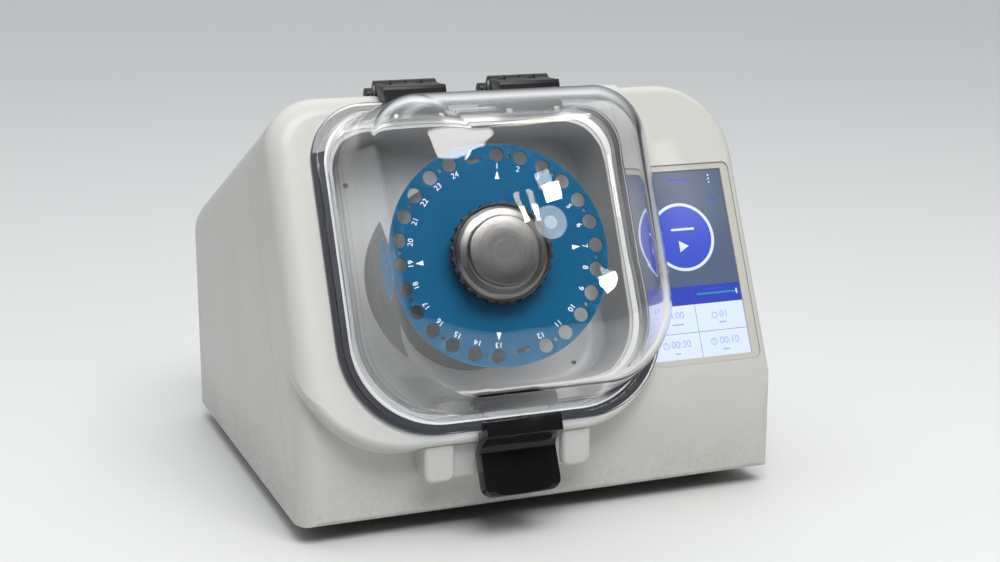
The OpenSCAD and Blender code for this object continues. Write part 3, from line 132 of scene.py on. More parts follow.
class Finish:
    """A procedural material; its place is Object coordinates, in metres in the machine's frame."""

    def __init__(self, name):
        self.material = bpy.data.materials.new(name)
        self.material.use_nodes = True
        self.material.node_tree.nodes.clear()
        self.place = self.node("ShaderNodeTexCoord", {}, {}, "Object")

    def node(self, kind, settings, sockets, out=0):
        node = self.material.node_tree.nodes.new(kind)
        for name, value in settings.items():
            setattr(node, name, value)
        for name, value in sockets.items():
            if isinstance(value, Wire):
                self.material.node_tree.links.new(value.socket, node.inputs[name])
            else:
                node.inputs[name].default_value = value
        return Wire(self, node.outputs[out])

    def noise(self, size, detail=2.0, place=None):
        """Noise from 0 to 1 whose features are about this many metres wide."""
        sockets = {"Vector": place or self.place, "Scale": 1 / size, "Detail": detail}
        return self.node("ShaderNodeTexNoise", {}, sockets)

    def steps(self, value, low, high):
        """0 below low, 1 above high."""
        return self.node("ShaderNodeMapRange", {}, {"Value": value, "From Min": low, "From Max": high})

    def stretched(self, x, y, z):
        """Object coordinates stretched along the axes."""
        return self.node("ShaderNodeMapping", {}, {"Vector": self.place, "Scale": (x, y, z)})

    def within(self, where):
        """Object coordinates carried into a frame of the machine."""
        inward = where.inverted()
        return self.node("ShaderNodeMapping", {}, {
            "Vector": self.place, "Location": inward.translation, "Rotation": inward.to_euler()})

    def split(self, place):
        parts = self.node("ShaderNodeSeparateXYZ", {}, {"Vector": place})
        return [Wire(self, socket) for socket in parts.socket.node.outputs]

    def off_axis(self, where):
        """Distance from the Z axis of a frame of the machine."""
        x, y = self.split(self.within(where))[:2]
        return (x * x + y * y) ** 0.5

    def blend(self, share, a, b):
        return self.node("ShaderNodeMix", {"data_type": "RGBA"}, {0: share, 6: a, 7: b}, 2)

    def relief(self, height, depth):
        return self.node("ShaderNodeBump", {}, {"Distance": depth, "Height": height})

    def skin(self, sockets):
        return self.node("ShaderNodeBsdfPrincipled", {}, sockets)

    def done(self, shader):
        output = self.material.node_tree.nodes.new("ShaderNodeOutputMaterial")
        self.material.node_tree.links.new(shader.socket, output.inputs["Surface"])
        return self

    def on(self, *nodes):
        """Puts the finish on CAD nodes."""
        for name in nodes:
            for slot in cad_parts[name].material_slots:
                slot.material = self.material


def painted(name, colour, shade, roughness, low_patch_share):
    """Sprayed plastic: orange peel, faint clouds, and darker, rougher speckled patches low down."""
    paint = Finish(name)
    peel = paint.noise(0.0011, 1.5)
    cloud = paint.noise(0.09, 4)
    speck = paint.noise(0.0035, 5)
    height = paint.split(paint.place)[2]
    # dust here marks darker, rougher speckled patches from 12 to 70 mm above the floor
    dust = (1 - paint.steps(height, 0.012, 0.07)) * paint.steps(speck * 0.6 + cloud * 0.4, 0.42, 0.62)
    tone = paint.blend(paint.steps(cloud, 0.35, 0.7), colour, shade)
    return paint.done(paint.skin({
        "Base Color": paint.blend(dust * low_patch_share, tone, (0.22, 0.20, 0.17, 1)),
        "Roughness": roughness + (cloud - 0.5) * 0.14 + (peel - 0.5) * 0.06 + dust * 0.2,
        "Normal": paint.relief(peel, 0.00003), "Coat Weight": 0.12}))


painted("shell_paint", (0.56, 0.56, 0.535, 1), (0.54, 0.54, 0.512, 1), 0.42, 0.2).on(
    "front_shell", "rear_shell", "latch_keeper")


# Feet, base plate and isolators: soft black rubber and zinc plated sheet, held with plated screws.
def rubber(name, colour, bloom):
    """Soft black rubber: fine grain, with a pale bloom in patches."""
    skin = Finish(name)
    grain = skin.noise(0.0009, 2)
    chalk = skin.noise(0.012, 4)
    return skin.done(skin.skin({
        "Base Color": skin.blend(skin.steps(chalk, 0.45, 0.75), colour, bloom),
        "Roughness": 0.62 + (chalk - 0.5) * 0.25, "Normal": skin.relief(grain, 0.00006)}))


def metal(name, colour, shade, roughness, size, depth, pull=(1, 1, 1)):
    """Metal with fine marks of this size and depth; pull stretches them along the axes."""
    skin = Finish(name)
    marks = skin.noise(size, 4, skin.stretched(*pull))
    cloud = skin.noise(0.02, 4)
    return skin.done(skin.skin({
        "Base Color": skin.blend(skin.steps(cloud, 0.3, 0.75), colour, shade), "Metallic": 1.0,
        "Roughness": roughness + (marks - 0.5) * 0.18 + (cloud - 0.5) * 0.1,
        "Normal": skin.relief(marks, depth)}))


rubber("foot_rubber", (0.018, 0.018, 0.019, 1), (0.05, 0.049, 0.047, 1)).on("feet", "isolator_mounts")
metal("zinc_sheet", (0.52, 0.53, 0.54, 1), (0.43, 0.43, 0.42, 1), 0.34, 0.002, 0.00003, (1, 1, 6)).on(
    "base_plate", "motor_bracket", "latch_bracket")
metal("plated_screw", (0.62, 0.61, 0.58, 1), (0.5, 0.49, 0.46, 1), 0.3, 0.0006, 0.00002).on(
    "foot_screws", "panel_screws", "lid_screws", "lock_bolt", "latch_pin", "hinge_pins", "fan_guard")
metal("black_screw", (0.045, 0.045, 0.048, 1), (0.09, 0.088, 0.085, 1), 0.38, 0.0006, 0.00002).on(
    "front_screws", "hub_screws")

# Chamber: a light grey moulded liner with rounded floor corners, the guard over the drive, whose dark grey
# colour is partly its own and partly painted shade behind the tube plate, and the black gasket that stands in
# the seat round the mouth.
liner = Finish("liner_plastic")
liner_cloud = liner.noise(0.05, 5)
liner_wipe = liner.noise(0.006, 4, liner.stretched(0.2, 1, 1))
liner_fleck = liner.steps(liner.noise(0.0018, 3), 0.66, 0.74)
liner_tone = liner.blend(liner_cloud, (0.42, 0.42, 0.415, 1), (0.31, 0.313, 0.317, 1))
liner.done(liner.skin({
    "Base Color": liner.blend(liner_fleck * 0.25, liner_tone, (0.16, 0.15, 0.14, 1)),
    "Roughness": 0.30 + liner_wipe * 0.22, "Normal": liner.relief(liner.noise(0.0016, 2), 0.00004)}))
liner.on("chamber_liner")
# The guard is coloured darker than its own mid grey, so its colour also paints the shade that falls behind
# the tube plate.
guard_and_shade = Finish("guard_plastic_and_shade")
guard_grain = guard_and_shade.noise(0.0008, 2)
guard_and_shade.done(guard_and_shade.skin({
    "Base Color": guard_and_shade.blend(guard_and_shade.noise(0.015, 4), (0.13, 0.132, 0.136, 1), (0.17, 0.17, 0.172, 1)),
    "Roughness": 0.5 + guard_grain * 0.12, "Normal": guard_and_shade.relief(guard_grain, 0.00005)}))
guard_and_shade.on("drive_guard")
metal("magnet_nickel", (0.64, 0.63, 0.60, 1), (0.55, 0.54, 0.51, 1), 0.18, 0.0007, 0.00001).on(
    "guard_magnets", "carriage_magnets")
rubber("gasket_rubber", (0.008, 0.009, 0.014, 1), (0.02, 0.021, 0.027, 1)).on("lid_gasket")

# Drive: motor with a black finned body, cast end cap and bearing housing, ground shaft and hub,
# the copper of the rotor and the cast counterweight.
metal("ground_steel", (0.58, 0.58, 0.57, 1), (0.48, 0.48, 0.47, 1), 0.24, 0.0008, 0.00001).on(
    "drive_shaft", "angled_hub", "shaft_bearings", "carriage_bearings", "carriage_stud")
metal("cast_metal", (0.42, 0.42, 0.41, 1), (0.34, 0.34, 0.33, 1), 0.5, 0.0015, 0.0001).on(
    "bearing_housing", "motor_end_cap", "counterweight")
metal("winding_copper", (0.50, 0.25, 0.12, 1), (0.36, 0.17, 0.08, 1), 0.35, 0.0011, 0.0001, (1, 1, 5)).on(
    "motor_rotor")
painted("motor_paint", (0.025, 0.026, 0.028, 1), (0.035, 0.036, 0.038, 1), 0.42, 0.0).on("motor_body")
metal("hub_metal", (0.45, 0.46, 0.47, 1), (0.38, 0.385, 0.39, 1), 0.32, 0.0009, 0.00002).on(
    "carriage_hub", "clamp_washer")

# Tube plate: thin metal disc with a blue anodised face, faintly brushed, and rubbed pale here and
# there where tubes go in. It sits on a journal that is tilted against the lid seat, which lies on
# the sloping front. The numbers and the four arrows are printed in white.
lean = radians(24.3)
housing_depth, bend_height = 0.362, 0.095
seat_x, seat_up = -0.037, 0.107
journal_rise, journal_tilt, tilt_way = 0.014, radians(7.4), radians(206)
front_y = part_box("rear_shell")[1].y - housing_depth
slope = Matrix((
    (1, 0, 0, 0),
    (0, sin(lean), -cos(lean), front_y),
    (0, cos(lean), sin(lean), bend_height),
    (0, 0, 0, 1)))
seat = slope @ Matrix.Translation((seat_x, seat_up, 0))
journal = (seat @ Matrix.Translation((0, 0, journal_rise)) @ Matrix.Rotation(tilt_way, 4, "Z")
           @ Matrix.Rotation(journal_tilt, 4, "Y") @ Matrix.Rotation(-tilt_way, 4, "Z"))
plate_top, tube_circle, arrow_circle = 0.034, 0.0763, 0.0595
number_size, number_gap, print_film = 0.0060, 0.0068, 0.00004


def begin(shape, **settings):
    """Adds a primitive, alone selected."""
    if bpy.context.object and bpy.context.object.mode != "OBJECT":
        bpy.ops.object.mode_set(mode="OBJECT")
    bpy.ops.object.select_all(action="DESELECT")
    getattr(bpy.ops.mesh, "primitive_" + shape + "_add")(**settings)
    bpy.ops.object.transform_apply(location=True, rotation=True, scale=True)
    return bpy.context.object


def lettering(text, size, depth, line="CENTER"):
    """Flat lettering at the origin, centred across; line says what of it stands on the origin."""
    bpy.ops.object.select_all(action="DESELECT")
    bpy.ops.object.text_add()
    words = bpy.context.object.data
    words.body = text
    words.align_x, words.align_y = "CENTER", line
    words.size, words.extrude = size, depth
    bpy.ops.object.convert(target="MESH")
    return bpy.context.object


def join(pieces):
    """Makes one piece of several, each where it is."""
    bpy.ops.object.select_all(action="DESELECT")
    for piece in pieces:
        piece.select_set(True)
    bpy.context.view_layer.objects.active = pieces[0]
    if len(pieces) > 1:
        bpy.ops.object.join()


def settle(name, where, finish, body, angle=35):
    """Leaves edit mode, carries the active piece from its own frame into place, and dresses it."""
    if bpy.context.object.mode != "OBJECT":
        bpy.ops.object.mode_set(mode="OBJECT")
    piece = bpy.context.object
    piece.name = piece.data.name = name
    piece.data.transform(where @ piece.matrix_world)
    piece.matrix_world = Matrix()
    bpy.ops.object.shade_smooth_by_angle(angle=radians(angle))
    piece.data.materials.clear()
    piece.data.materials.append(finish.material)
    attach(piece, body)
    return piece


def tube_place(tube):
    """Turn to a tube's place: 26 places, of which the two locating slots take one each."""
    return Matrix.Rotation(radians(-(tube + (tube >= 12) + 0.5) * 360 / 26), 4, "Z")


plate_blue = Finish("plate_blue")
plate_radius = plate_blue.off_axis(journal)
brush = plate_blue.noise(0.0006, 4, plate_blue.stretched(0.08, 1, 1))
rub = plate_blue.steps(plate_blue.noise(0.007, 5), 0.56, 0.72) * plate_blue.steps(plate_radius, 0.066, 0.079)
plate_face = plate_blue.blend(plate_blue.noise(0.03, 3), (0.0, 0.066, 0.142, 1), (0.0, 0.078, 0.172, 1))
plate_edge = plate_blue.steps(plate_radius, 0.0846, 0.0849)
plate_blue.done(plate_blue.skin({
    "Base Color": plate_blue.blend(rub * 0.22 + plate_edge * 0.35, plate_face, (0.16, 0.30, 0.40, 1)),
    "Specular IOR Level": 0.08, "Roughness": 0.42 + (brush - 0.5) * 0.14 + rub * 0.1,
    "Normal": plate_blue.relief(brush, 0.000012)}))
plate_blue.on("tube_plate")

white_print = Finish("white_print")
print_wear = white_print.steps(white_print.noise(0.0012, 4), 0.58, 0.72)
white_print.done(white_print.skin({
    "Base Color": white_print.blend(print_wear, (0.80, 0.84, 0.87, 1), (0.32, 0.46, 0.56, 1)),
    "Roughness": 0.55}))
plate_prints = []
for tube in range(24):
    number = lettering(str(tube + 1), number_size, print_film / 2, "TOP")
    number_top = tube_circle - number_gap - max(corner.co.y for corner in number.data.vertices)
    number.data.transform(tube_place(tube) @ Matrix.Translation((0, number_top, plate_top + print_film)))
    plate_prints.append(number)
for tube in range(0, 24, 6):
    arrow = begin("cone", vertices=3, radius1=0.0022, radius2=0.0022, depth=print_film)
    arrow.data.transform(tube_place(tube) @ Matrix.Translation((0, arrow_circle, plate_top + print_film))
                         @ Matrix.Diagonal((0.95, 1.9, 1, 1)))
    plate_prints.append(arrow)
join(plate_prints)
settle("plate_numbers", journal, white_print, "carriage")

# Clamp knob: a turned steel disc with a raised flat top, and round it the black ring with teeth for
# the fingers. Two small steel pointers stand over the ring.
knob_seat = journal @ Matrix.Translation((0, 0, 0.0374))
turned = Finish("turned_steel")
tool_marks = turned.node("ShaderNodeTexNoise", {"noise_dimensions": "1D"}, {
    "W": turned.off_axis(journal), "Scale": 1700.0, "Detail": 4.0})
handling = turned.noise(0.006, 5)
turned.done(turned.skin({
    "Base Color": turned.blend(handling, (0.205, 0.197, 0.188, 1), (0.235, 0.226, 0.215, 1)),
    "Metallic": 1.0, "Roughness": 0.30 + (tool_marks - 0.5) * 0.16 + (handling - 0.5) * 0.06,
    "Normal": turned.relief(tool_marks, 0.000012)}))


def treat(kind, **settings):
    """Adds a modifier to the active piece and applies it."""
    if bpy.context.object.mode != "OBJECT":
        bpy.ops.object.mode_set(mode="OBJECT")
    modifier = bpy.context.object.modifiers.new(kind, kind)
    for name, value in settings.items():
        setattr(modifier, name, value)
    bpy.ops.object.modifier_apply(modifier=modifier.name)


def raise_ring(radius, height):
    """Extrudes the selected cap of a turned piece and brings it to this radius and height."""
    bpy.ops.mesh.extrude_region_move()
    mesh = bpy.context.object
    mesh.update_from_editmode()
    chosen = [v.co for v in mesh.data.vertices if v.select]
    now = max(hypot(p.x, p.y) for p in chosen)
    level = max(p.z for p in chosen)
    bpy.ops.transform.translate(value=(0, 0, height - level))
    bpy.ops.transform.resize(value=(radius / now, radius / now, 1))


def turn_piece(profile, vertices):
    """Turned solid: a disc at the profile's first radius and height, raised through the rest."""
    begin("circle", vertices=vertices, radius=profile[0][0], fill_type="NGON", location=(0, 0, profile[0][1]))
    bpy.ops.object.mode_set(mode="EDIT")
    bpy.ops.mesh.select_all(action="SELECT")
    for radius, height in profile[1:]:
        raise_ring(radius, height)
    bpy.ops.mesh.select_all(action="SELECT")
    bpy.ops.mesh.normals_make_consistent(inside=False)
    bpy.ops.object.mode_set(mode="OBJECT")


knob_skirt = [(0.0310, 0), (0.0310, 0.0030), (0.0344, 0.0030), (0.0350, 0.0036), (0.0350, 0.0106)]
knob_slope = [(0.0346, 0.0111), (0.0322, 0.0136), (0.0314, 0.0139), (0.0279, 0.0144), (0.0268, 0.0149)]
knob_top = [(0.0262, 0.0158), (0.0260, 0.0168), (0.0260, 0.0192), (0.0257, 0.0198), (0.0251, 0.0200),
            (0.0120, 0.0200)]
turn_piece(knob_skirt + knob_slope + knob_top, 160)
treat("BEVEL", width=0.0002, segments=2, limit_method="ANGLE", angle_limit=radians(25))
knob = settle("clamp_knob", knob_seat, turned, "knob", 28)
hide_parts("knob_body")


def moulded(name, colour, dust, roughness, grain, depth):
    """Black moulded plastic: spark grain, handling marks and a trace of dust."""
    skin = Finish(name)
    fine = skin.noise(grain, 2)
    smear = skin.noise(0.009, 5)
    fleck = skin.steps(skin.noise(0.0011, 3), 0.70, 0.76)
    tone = skin.blend(smear, colour, tuple(c * 1.35 for c in colour[:3]) + (1,))
    return skin.done(skin.skin({
        "Base Color": skin.blend(fleck * 0.5, tone, dust),
        "Roughness": roughness + (smear - 0.5) * 0.16 + fleck * 0.2, "Specular IOR Level": 0.3,
        "Normal": skin.relief(fine, depth)}))


def eased(node, name, width, finish, body, angle=30, segments=3):
    """A copy of a CAD node with its edges broken by a small radius, which takes the node's place."""
    bpy.ops.object.select_all(action="DESELECT")
    piece = bpy.data.objects.new(name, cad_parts[node].data.copy())
    bpy.context.scene.collection.objects.link(piece)
    piece.select_set(True)
    bpy.context.view_layer.objects.active = piece
    bpy.ops.object.mode_set(mode="EDIT")
    bpy.ops.mesh.select_all(action="SELECT")
    bpy.ops.mesh.remove_doubles(threshold=0.000002)
    bpy.ops.mesh.dissolve_limited(angle_limit=radians(1))
    bpy.ops.object.mode_set(mode="OBJECT")
    if bpy.context.object.data.has_custom_normals:
        bpy.ops.mesh.customdata_custom_splitnormals_clear()
    treat("BEVEL", width=width, segments=segments, limit_method="ANGLE", angle_limit=radians(angle))
    settle(name, Matrix(), finish, body)
    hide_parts(node)


ring_black = moulded("ring_black", (0.012, 0.012, 0.013, 1), (0.08, 0.08, 0.08, 1), 0.34, 0.0006, 0.00002)
eased("knob_grip_ring", "clamp_grip_ring", 0.0005, ring_black, "knob")
for side in (0, 1):
    pointer = begin("cone", vertices=4, radius1=0.0016, radius2=0.0007, depth=0.0022)
    around = Matrix.Rotation(radians(190 * side + 8), 4, "Z")
    pointer.data.transform(around @ Matrix.Translation((0.0352, 0, 0.0118)))
    settle("clamp_pointer_%d" % side, knob_seat, turned, "knob")

# Display: circuit board and panel under a flat glass that is flush in its frame. The picture shows
# a round start button on slate, a blue strip with a slider, and four white fields with numbers. It
# is laid out in millimetres from the middle of the glass, in layers of a hundredth of a millimetre.
screen_frame = slope @ Matrix.Translation((0.1399, 0.0953, -0.003))
dot_waves = 2513.0
half_wide, rule = 43.4, 0.2
columns = ((-half_wide, -rule), (rule, half_wide))
rows = ((-77.0, -56.4), (-56.0, -33.7))
strip_low, strip_high = -33.6, -18.6
button_x, button_y = -0.1, 22.1
figure_size = 0.008
board_green = Finish("board_green")
track = board_green.noise(0.0022, 2, board_green.stretched(1, 0.35, 1))
track_mask = board_green.steps(track, 0.48, 0.52)
board_green.done(board_green.skin({
    "Base Color": board_green.blend(track_mask, (0.01, 0.10, 0.04, 1), (0.02, 0.18, 0.07, 1)),
    "Roughness": 0.35, "Normal": board_green.relief(track, 0.00005)}))
board_green.on("display_module", "control_board")
painted("bezel_paint", (0.50, 0.495, 0.46, 1), (0.48, 0.475, 0.44, 1), 0.46, 0.0).on("display_bezel")


def lit(name, colour, glow=0.85):
    """A lit area of the display, with the faint mesh of its dots."""
    light = Finish(name)
    along, up = light.split(light.within(screen_frame))[:2]
    dots = along.math("SINE", along * dot_waves) * up.math("SINE", up * dot_waves)
    tone = light.blend((dots * dots) * 0.08 + 0.92, (0, 0, 0, 1), colour)
    return light.done(light.skin({
        "Base Color": light.blend(0.4, (0, 0, 0, 1), tone), "Emission Color": tone,
        "Emission Strength": glow, "Roughness": 0.12, "Specular IOR Level": 0.25}))


def layer_height(layer):
    return (0.02 + 0.01 * layer) / 1000


def pick(kind, test):
    """Selects the vertices, edges or polygons whose middle and direction pass the test."""
    bpy.ops.object.mode_set(mode="OBJECT")
    mesh = bpy.context.object.data
    bpy.context.tool_settings.mesh_select_mode = [kind == k for k in ("vertices", "edges", "polygons")]
    for group in (mesh.vertices, mesh.edges, mesh.polygons):
        group.foreach_set("select", [False] * len(group))
    for item in getattr(mesh, kind):
        if kind == "polygons":
            middle, way = item.center, item.normal
        elif kind == "edges":
            a, b = (mesh.vertices[k].co for k in item.vertices)
            middle, way = (a + b) / 2, (b - a).normalized()
        else:
            middle, way = item.co, item.normal
        item.select = bool(test(middle, way))
    bpy.ops.object.mode_set(mode="EDIT")


def tile(x0, y0, x1, y1, layer, radius=0.0):
    """Thin plate from one corner to the other."""
    plate = begin("cube", size=1, location=((x0 + x1) / 2000, (y0 + y1) / 2000, layer_height(layer)),
                  scale=((x1 - x0) / 1000, (y1 - y0) / 1000, 0.00002))
    if radius:
        pick("edges", lambda middle, way: abs(way.z) > 0.9)
        bpy.ops.mesh.bevel(offset=radius / 1000, segments=6, affect="EDGES")
        bpy.ops.object.mode_set(mode="OBJECT")
    return plate


def disc(x, y, radius, layer, vertices=96):
    return begin("cylinder", vertices=vertices, radius=radius / 1000, depth=0.00002,
                 location=(x / 1000, y / 1000, layer_height(layer)))


def hoop(x, y, radius, width, vertices=96):
    """Flat ring, a torus pressed flat, on the third layer."""
    ring = begin("torus", major_segments=vertices, minor_segments=4, major_radius=(radius - width / 2) / 1000,
                 minor_radius=width / 2000)
    pressed = Matrix.Diagonal((1, 1, 0.01, 1))
    ring.data.transform(Matrix.Translation((x / 1000, y / 1000, layer_height(3))) @ pressed)
    return ring


def figures(text, x, y):
    """Figures on the third layer."""
    label = lettering(text, figure_size, 0.00001)
    label.data.transform(Matrix.Translation((x / 1000, y / 1000, layer_height(3))))
    return label


def together(name, pieces, finish):
    join(pieces)
    settle(name, screen_frame, finish, "housing")


lit("display_slate", (0.098, 0.128, 0.215, 1), 0.75).on("display_glass")
indigo = lit("display_indigo", (0.050, 0.085, 0.520, 1))
strip_blue = lit("display_strip", (0.040, 0.065, 0.420, 1))
pale = lit("display_pale", (0.64, 0.71, 0.98, 1))
teal = lit("display_teal", (0.03, 0.30, 0.38, 1))
faint = lit("display_faint", (0.30, 0.42, 0.82, 1))
together("picture_button", [disc(button_x, button_y, 26.6, 1)], indigo)
arrow = begin("cone", vertices=3, radius1=0.0055, radius2=0.0055, depth=0.00002)
arrow_place = Matrix.Translation((-0.0015, 0.0145, layer_height(4)))
arrow.data.transform(arrow_place @ Matrix.Rotation(-pi / 2, 4, "Z"))
together("picture_marks", [hoop(button_x, button_y, 28.2, 2.5), arrow, tile(-9.5, 27.5, 11.5, 29.4, 4, 0.9),
                           *[disc(32.1, 69.1 + 2.9 * k, 0.75, 2, 24) for k in (-1, 0, 1)]], pale)
together("picture_strip", [tile(-half_wide, strip_low, half_wide, strip_high, 1)], strip_blue)
together("picture_slider", [tile(3.8, -26.3, 40.0, -25.0, 3, 0.5)], teal)
together("picture_fields", [tile(left, low, right, high, 1) for low, high in rows for left, right in columns]
         + [tile(39.2, -27.8, 40.5, -23.4, 5, 0.6)], pale)
together("picture_figures", [
    figures("4.00", -17.5, -41.5), figures("01", 24.8, -43.4),
    figures("00:30", -17.5, -65.0), figures("00:10", 26.0, -65.0),
    hoop(16.4, -44.0, 2.7, 0.7, 32), hoop(-30.8, -65.2, 2.8, 0.7, 32), hoop(12.0, -65.2, 2.8, 0.7, 32),
    tile(-31.2, -65.4, -30.5, -63.2, 3), tile(11.6, -65.4, 12.3, -63.2, 3),
    tile(-22.5, -49.6, -12.0, -48.4, 3, 0.5), tile(19.5, -50.6, 26.0, -49.4, 3, 0.5),
    tile(-24.0, -72.7, -19.0, -71.5, 3, 0.5), tile(19.0, -72.7, 25.0, -71.5, 3, 0.5)], faint)
together("picture_lines", [
    tile(-5.0, 69.0, 15.0, 70.6, 2, 0.6), tile(28.0, 50.4, 35.0, 52.0, 2, 0.6),
    tile(10.0, -22.6, 30.0, -21.6, 3, 0.4), tile(-0.2, -31.5, 0.2, -20.5, 3),
    *[tile(4.4 + 8.7 * k, -29.4, 5.4 + 8.7 * k, -28.2, 3) for k in range(5)],
    tile(-30.0, -27.4, -18.0, -24.6, 3, 0.6)], indigo)

# Hinges: two black anodised friction hinges on the roof edge, each a body on the roof and an arm on
# the lid; each leaf is milled with small radii.
hinge_black = moulded("hinge_black", (0.010, 0.010, 0.011, 1), (0.07, 0.07, 0.07, 1), 0.34, 0.0005, 0.00002)
for side in ("left", "right"):
    eased("hinge_base_" + side, "hinge_body_" + side, 0.0005, hinge_black, "housing")
    eased("hinge_leaf_" + side, "hinge_arm_" + side, 0.0005, hinge_black, "lid")

# Lid: one piece of clear moulded plastic, a flat flange that rises into a deep rounded dome, worn
# with fine scratches. Its outline has round corners, larger at the bottom.
flange_wide, flange_high, upper_corner, lower_corner = 0.260, 0.255, 0.046, 0.072
flange_top, dome_high, dome_half, dome_round = 0.027, 0.143, 0.119, 0.055
side_draft, end_draft, lid_wall = radians(10.6), radians(6.6), 0.0052
root_round, root_steps, wall_steps, dome_steps = 0.0016, 5, 5, 22
clear = Finish("clear_lid")
scratch = clear.noise(0.0011, 3, clear.stretched(1, 0.06, 0.06))
scratch_2 = clear.noise(0.0011, 3, clear.stretched(0.07, 1, 0.5))
worn = clear.steps(clear.noise(0.03, 3), 0.5, 0.7)
scratched = worn * (clear.steps(scratch, 0.69, 0.73) + clear.steps(scratch_2, 0.71, 0.75))
wave = clear.noise(0.05, 2)
clear_glass = clear.skin({"Base Color": (0.985, 0.99, 1.0, 1), "Transmission Weight": 1.0, "IOR": 1.49,
                          "Roughness": scratched * 0.22, "Normal": clear.relief(wave, 0.00006)})
clear_film = clear.node("ShaderNodeBsdfTransparent", {}, {"Color": (0.93, 0.94, 0.96, 1)})
shadow_ray = clear.node("ShaderNodeLightPath", {}, {}, "Is Shadow Ray")
clear.done(clear.node("ShaderNodeMixShader", {}, {0: shadow_ray, 1: clear_glass, 2: clear_film}))


def flange_plane(margin, level):
    """The flange's outline as a plane at this level, drawn in by a margin, all selected to edit."""
    wide, high = flange_wide - 2 * margin, flange_high - 2 * margin
    plane = begin("plane", size=1)
    plane.data.transform(Matrix.Translation((0, 0, level)) @ Matrix.Diagonal((wide, high, 1, 1)))
    near_x, near_y = wide / 2 - 0.0001, high / 2 - 0.0001
    for end, corner in ((1, upper_corner), (-1, lower_corner)):
        pick("vertices", lambda middle, way: abs(middle.x) > near_x and middle.y * end > near_y)
        bpy.ops.mesh.bevel(offset=corner - margin, segments=24, affect="VERTICES")
    bpy.ops.mesh.select_all(action="SELECT")


slant = (side_draft + end_draft) / 2
wall_top = dome_high - dome_round * (1 - sin(slant))
rings = []
for k in range(root_steps + 1):
    turn = k * pi / 2 / root_steps
    foot = dome_half + root_round * (1 - sin(turn))
    rings.append((foot, foot, flange_top + root_round * (1 - cos(turn))))
for k in range(1, wall_steps + 1):
    rise = (wall_top - flange_top) * k / wall_steps
    rings.append((dome_half - rise * tan(side_draft), dome_half - rise * tan(end_draft), flange_top + rise))
shoulder_x, shoulder_y, shoulder_level = rings[-1]
for k in range(1, dome_steps + 1):
    turn = slant + (pi / 2 - slant) * k / dome_steps
    inward, climb = dome_round * (cos(slant) - cos(turn)), dome_round * (sin(turn) - sin(slant))
    rings.append((shoulder_x - inward, shoulder_y - inward, shoulder_level + climb))
flange_plane(0, flange_top)
last_x, last_y, last_level = flange_wide / 2, flange_high / 2, flange_top
for half_x, half_y, level in rings:
    bpy.ops.mesh.extrude_region_move()
    bpy.ops.transform.resize(value=(half_x / last_x, half_y / last_y, 1), center_override=(0, 0, 0))
    bpy.ops.transform.translate(value=(0, 0, level - last_level))
    last_x, last_y, last_level = half_x, half_y, level
pick("polygons", lambda middle, way: middle.z < flange_top + 0.0001 and hypot(middle.x, middle.y) < 0.05)
bpy.ops.mesh.delete(type="FACE")
bpy.ops.mesh.select_all(action="SELECT")
bpy.ops.mesh.normals_make_consistent(inside=False)
treat("SOLIDIFY", thickness=lid_wall, offset=-1, use_even_offset=True)
treat("BEVEL", width=0.0009, segments=3, limit_method="ANGLE", angle_limit=radians(60))
lid_dome = settle("lid_dome", seat, clear, "lid", 40)
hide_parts("lid_shell")

# Sealing lip: a thin strip of black rubber under the rim of the flange, a little in from its edge,
# which follows the flange's outline.
lip_margin, lip_wide, lip_thick = 0.0017, 0.0034, 0.0034
flange_plane(lip_margin, 0.0219)
bpy.ops.mesh.select_mode(type="FACE")
bpy.ops.mesh.select_all(action="SELECT")
bpy.ops.mesh.inset(thickness=lip_wide, use_even_offset=True)
bpy.ops.mesh.delete(type="FACE")
treat("SOLIDIFY", thickness=lip_thick, offset=-1, use_even_offset=True)
lip_rubber = rubber("lip_rubber", (0.006, 0.007, 0.011, 1), (0.016, 0.017, 0.022, 1))
settle("lid_lip", seat, lip_rubber, "lid", 40)

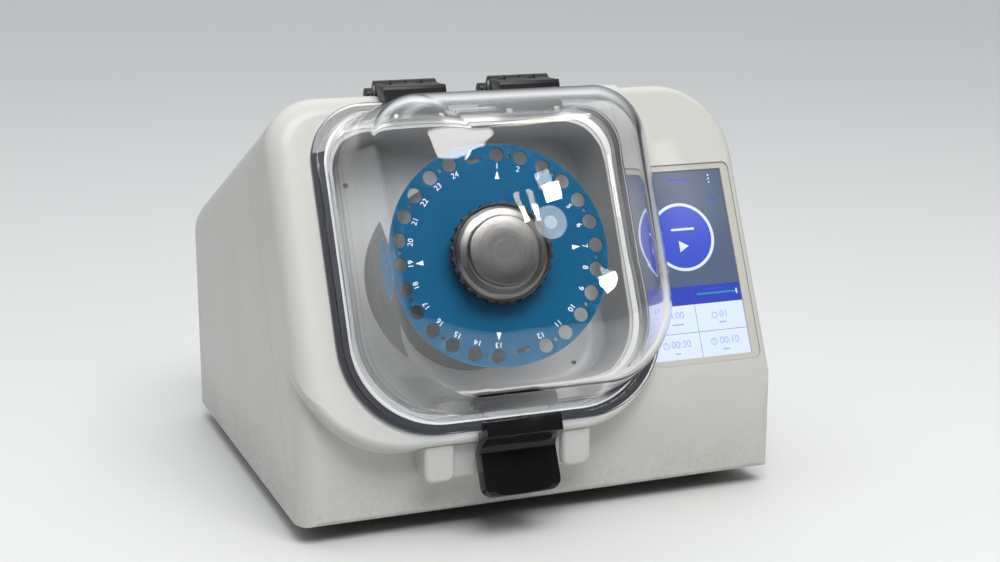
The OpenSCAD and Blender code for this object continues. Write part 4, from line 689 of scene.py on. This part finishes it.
# Gate mark: the round scar where the plastic of the lid came into the mould, a shallow frosted disc
# in the middle of the dome's face.
gate_place = seat @ Matrix.Translation((0.002, 0, dome_high))
gate = Finish("gate_plastic")
frost = gate.noise(0.0007, 3)
core = 1 - gate.steps(gate.off_axis(gate_place), 0.0044, 0.0052)
gate_mist = gate.skin({"Base Color": (0.75, 0.82, 0.9, 1), "Roughness": 0.18 + core * 0.25,
                       "Normal": gate.relief(frost, 0.00004)})
gate_clear = gate.node("ShaderNodeBsdfTransparent", {}, {"Color": (1, 1, 1, 1)})
gate_share = 0.17 + core * (0.12 + frost * 0.2)
gate.done(gate.node("ShaderNodeMixShader", {}, {0: gate_share, 1: gate_clear, 2: gate_mist}))
turn_piece([(0.0118, 0), (0.0120, 0.0001), (0.0120, 0.0003), (0.0117, 0.0004), (0.0055, 0.0004)], 96)
settle("lid_gate_mark", gate_place @ Matrix.Translation((0, 0, -0.00002)), gate, "lid", 30)

# Latch: a glossy black moulded handle that hooks behind the keeper's lip, on a steel bracket with
# its pin and a wound spring.
gloss_black = moulded("gloss_black", (0.006, 0.006, 0.0065, 1), (0.05, 0.05, 0.05, 1), 0.12, 0.0012, 0.000004)
eased("latch_handle", "latch_grip", 0.0012, gloss_black, "latch", 25, 4)
metal("spring_steel", (0.40, 0.40, 0.40, 1), (0.33, 0.33, 0.33, 1), 0.28, 0.0005, 0.00001).on("latch_spring")

# Lock behind the slot for the lid's tongue: a plated solenoid can, whose bolt is dressed with the
# plated screws above. The small switch beside it has the black case of the parts at the rear.
metal("solenoid_plate", (0.50, 0.45, 0.30, 1), (0.42, 0.38, 0.27, 1), 0.3, 0.001, 0.00002).on("lock_solenoid")

# Rear panel and what it carries: grey painted sheet, black inlet, switch, fuse drawer and fan,
# bright pins and port, and the power supply behind.
moulded("case_black", (0.016, 0.016, 0.017, 1), (0.08, 0.08, 0.08, 1), 0.42, 0.0008, 0.00003).on(
    "interlock_switch", "power_inlet", "switch_frame", "switch_rocker", "fuse_drawer", "fan_frame",
    "fan_rotor")
painted("panel_paint", (0.085, 0.088, 0.092, 1), (0.10, 0.102, 0.105, 1), 0.45, 0.0).on("rear_panel")
metal("contact_metal", (0.66, 0.62, 0.50, 1), (0.58, 0.55, 0.45, 1), 0.25, 0.0006, 0.00001).on(
    "inlet_pins", "usb_port")
metal("supply_case", (0.48, 0.49, 0.50, 1), (0.40, 0.41, 0.42, 1), 0.35, 0.0015, 0.00003, (1, 5, 1)).on(
    "power_supply")
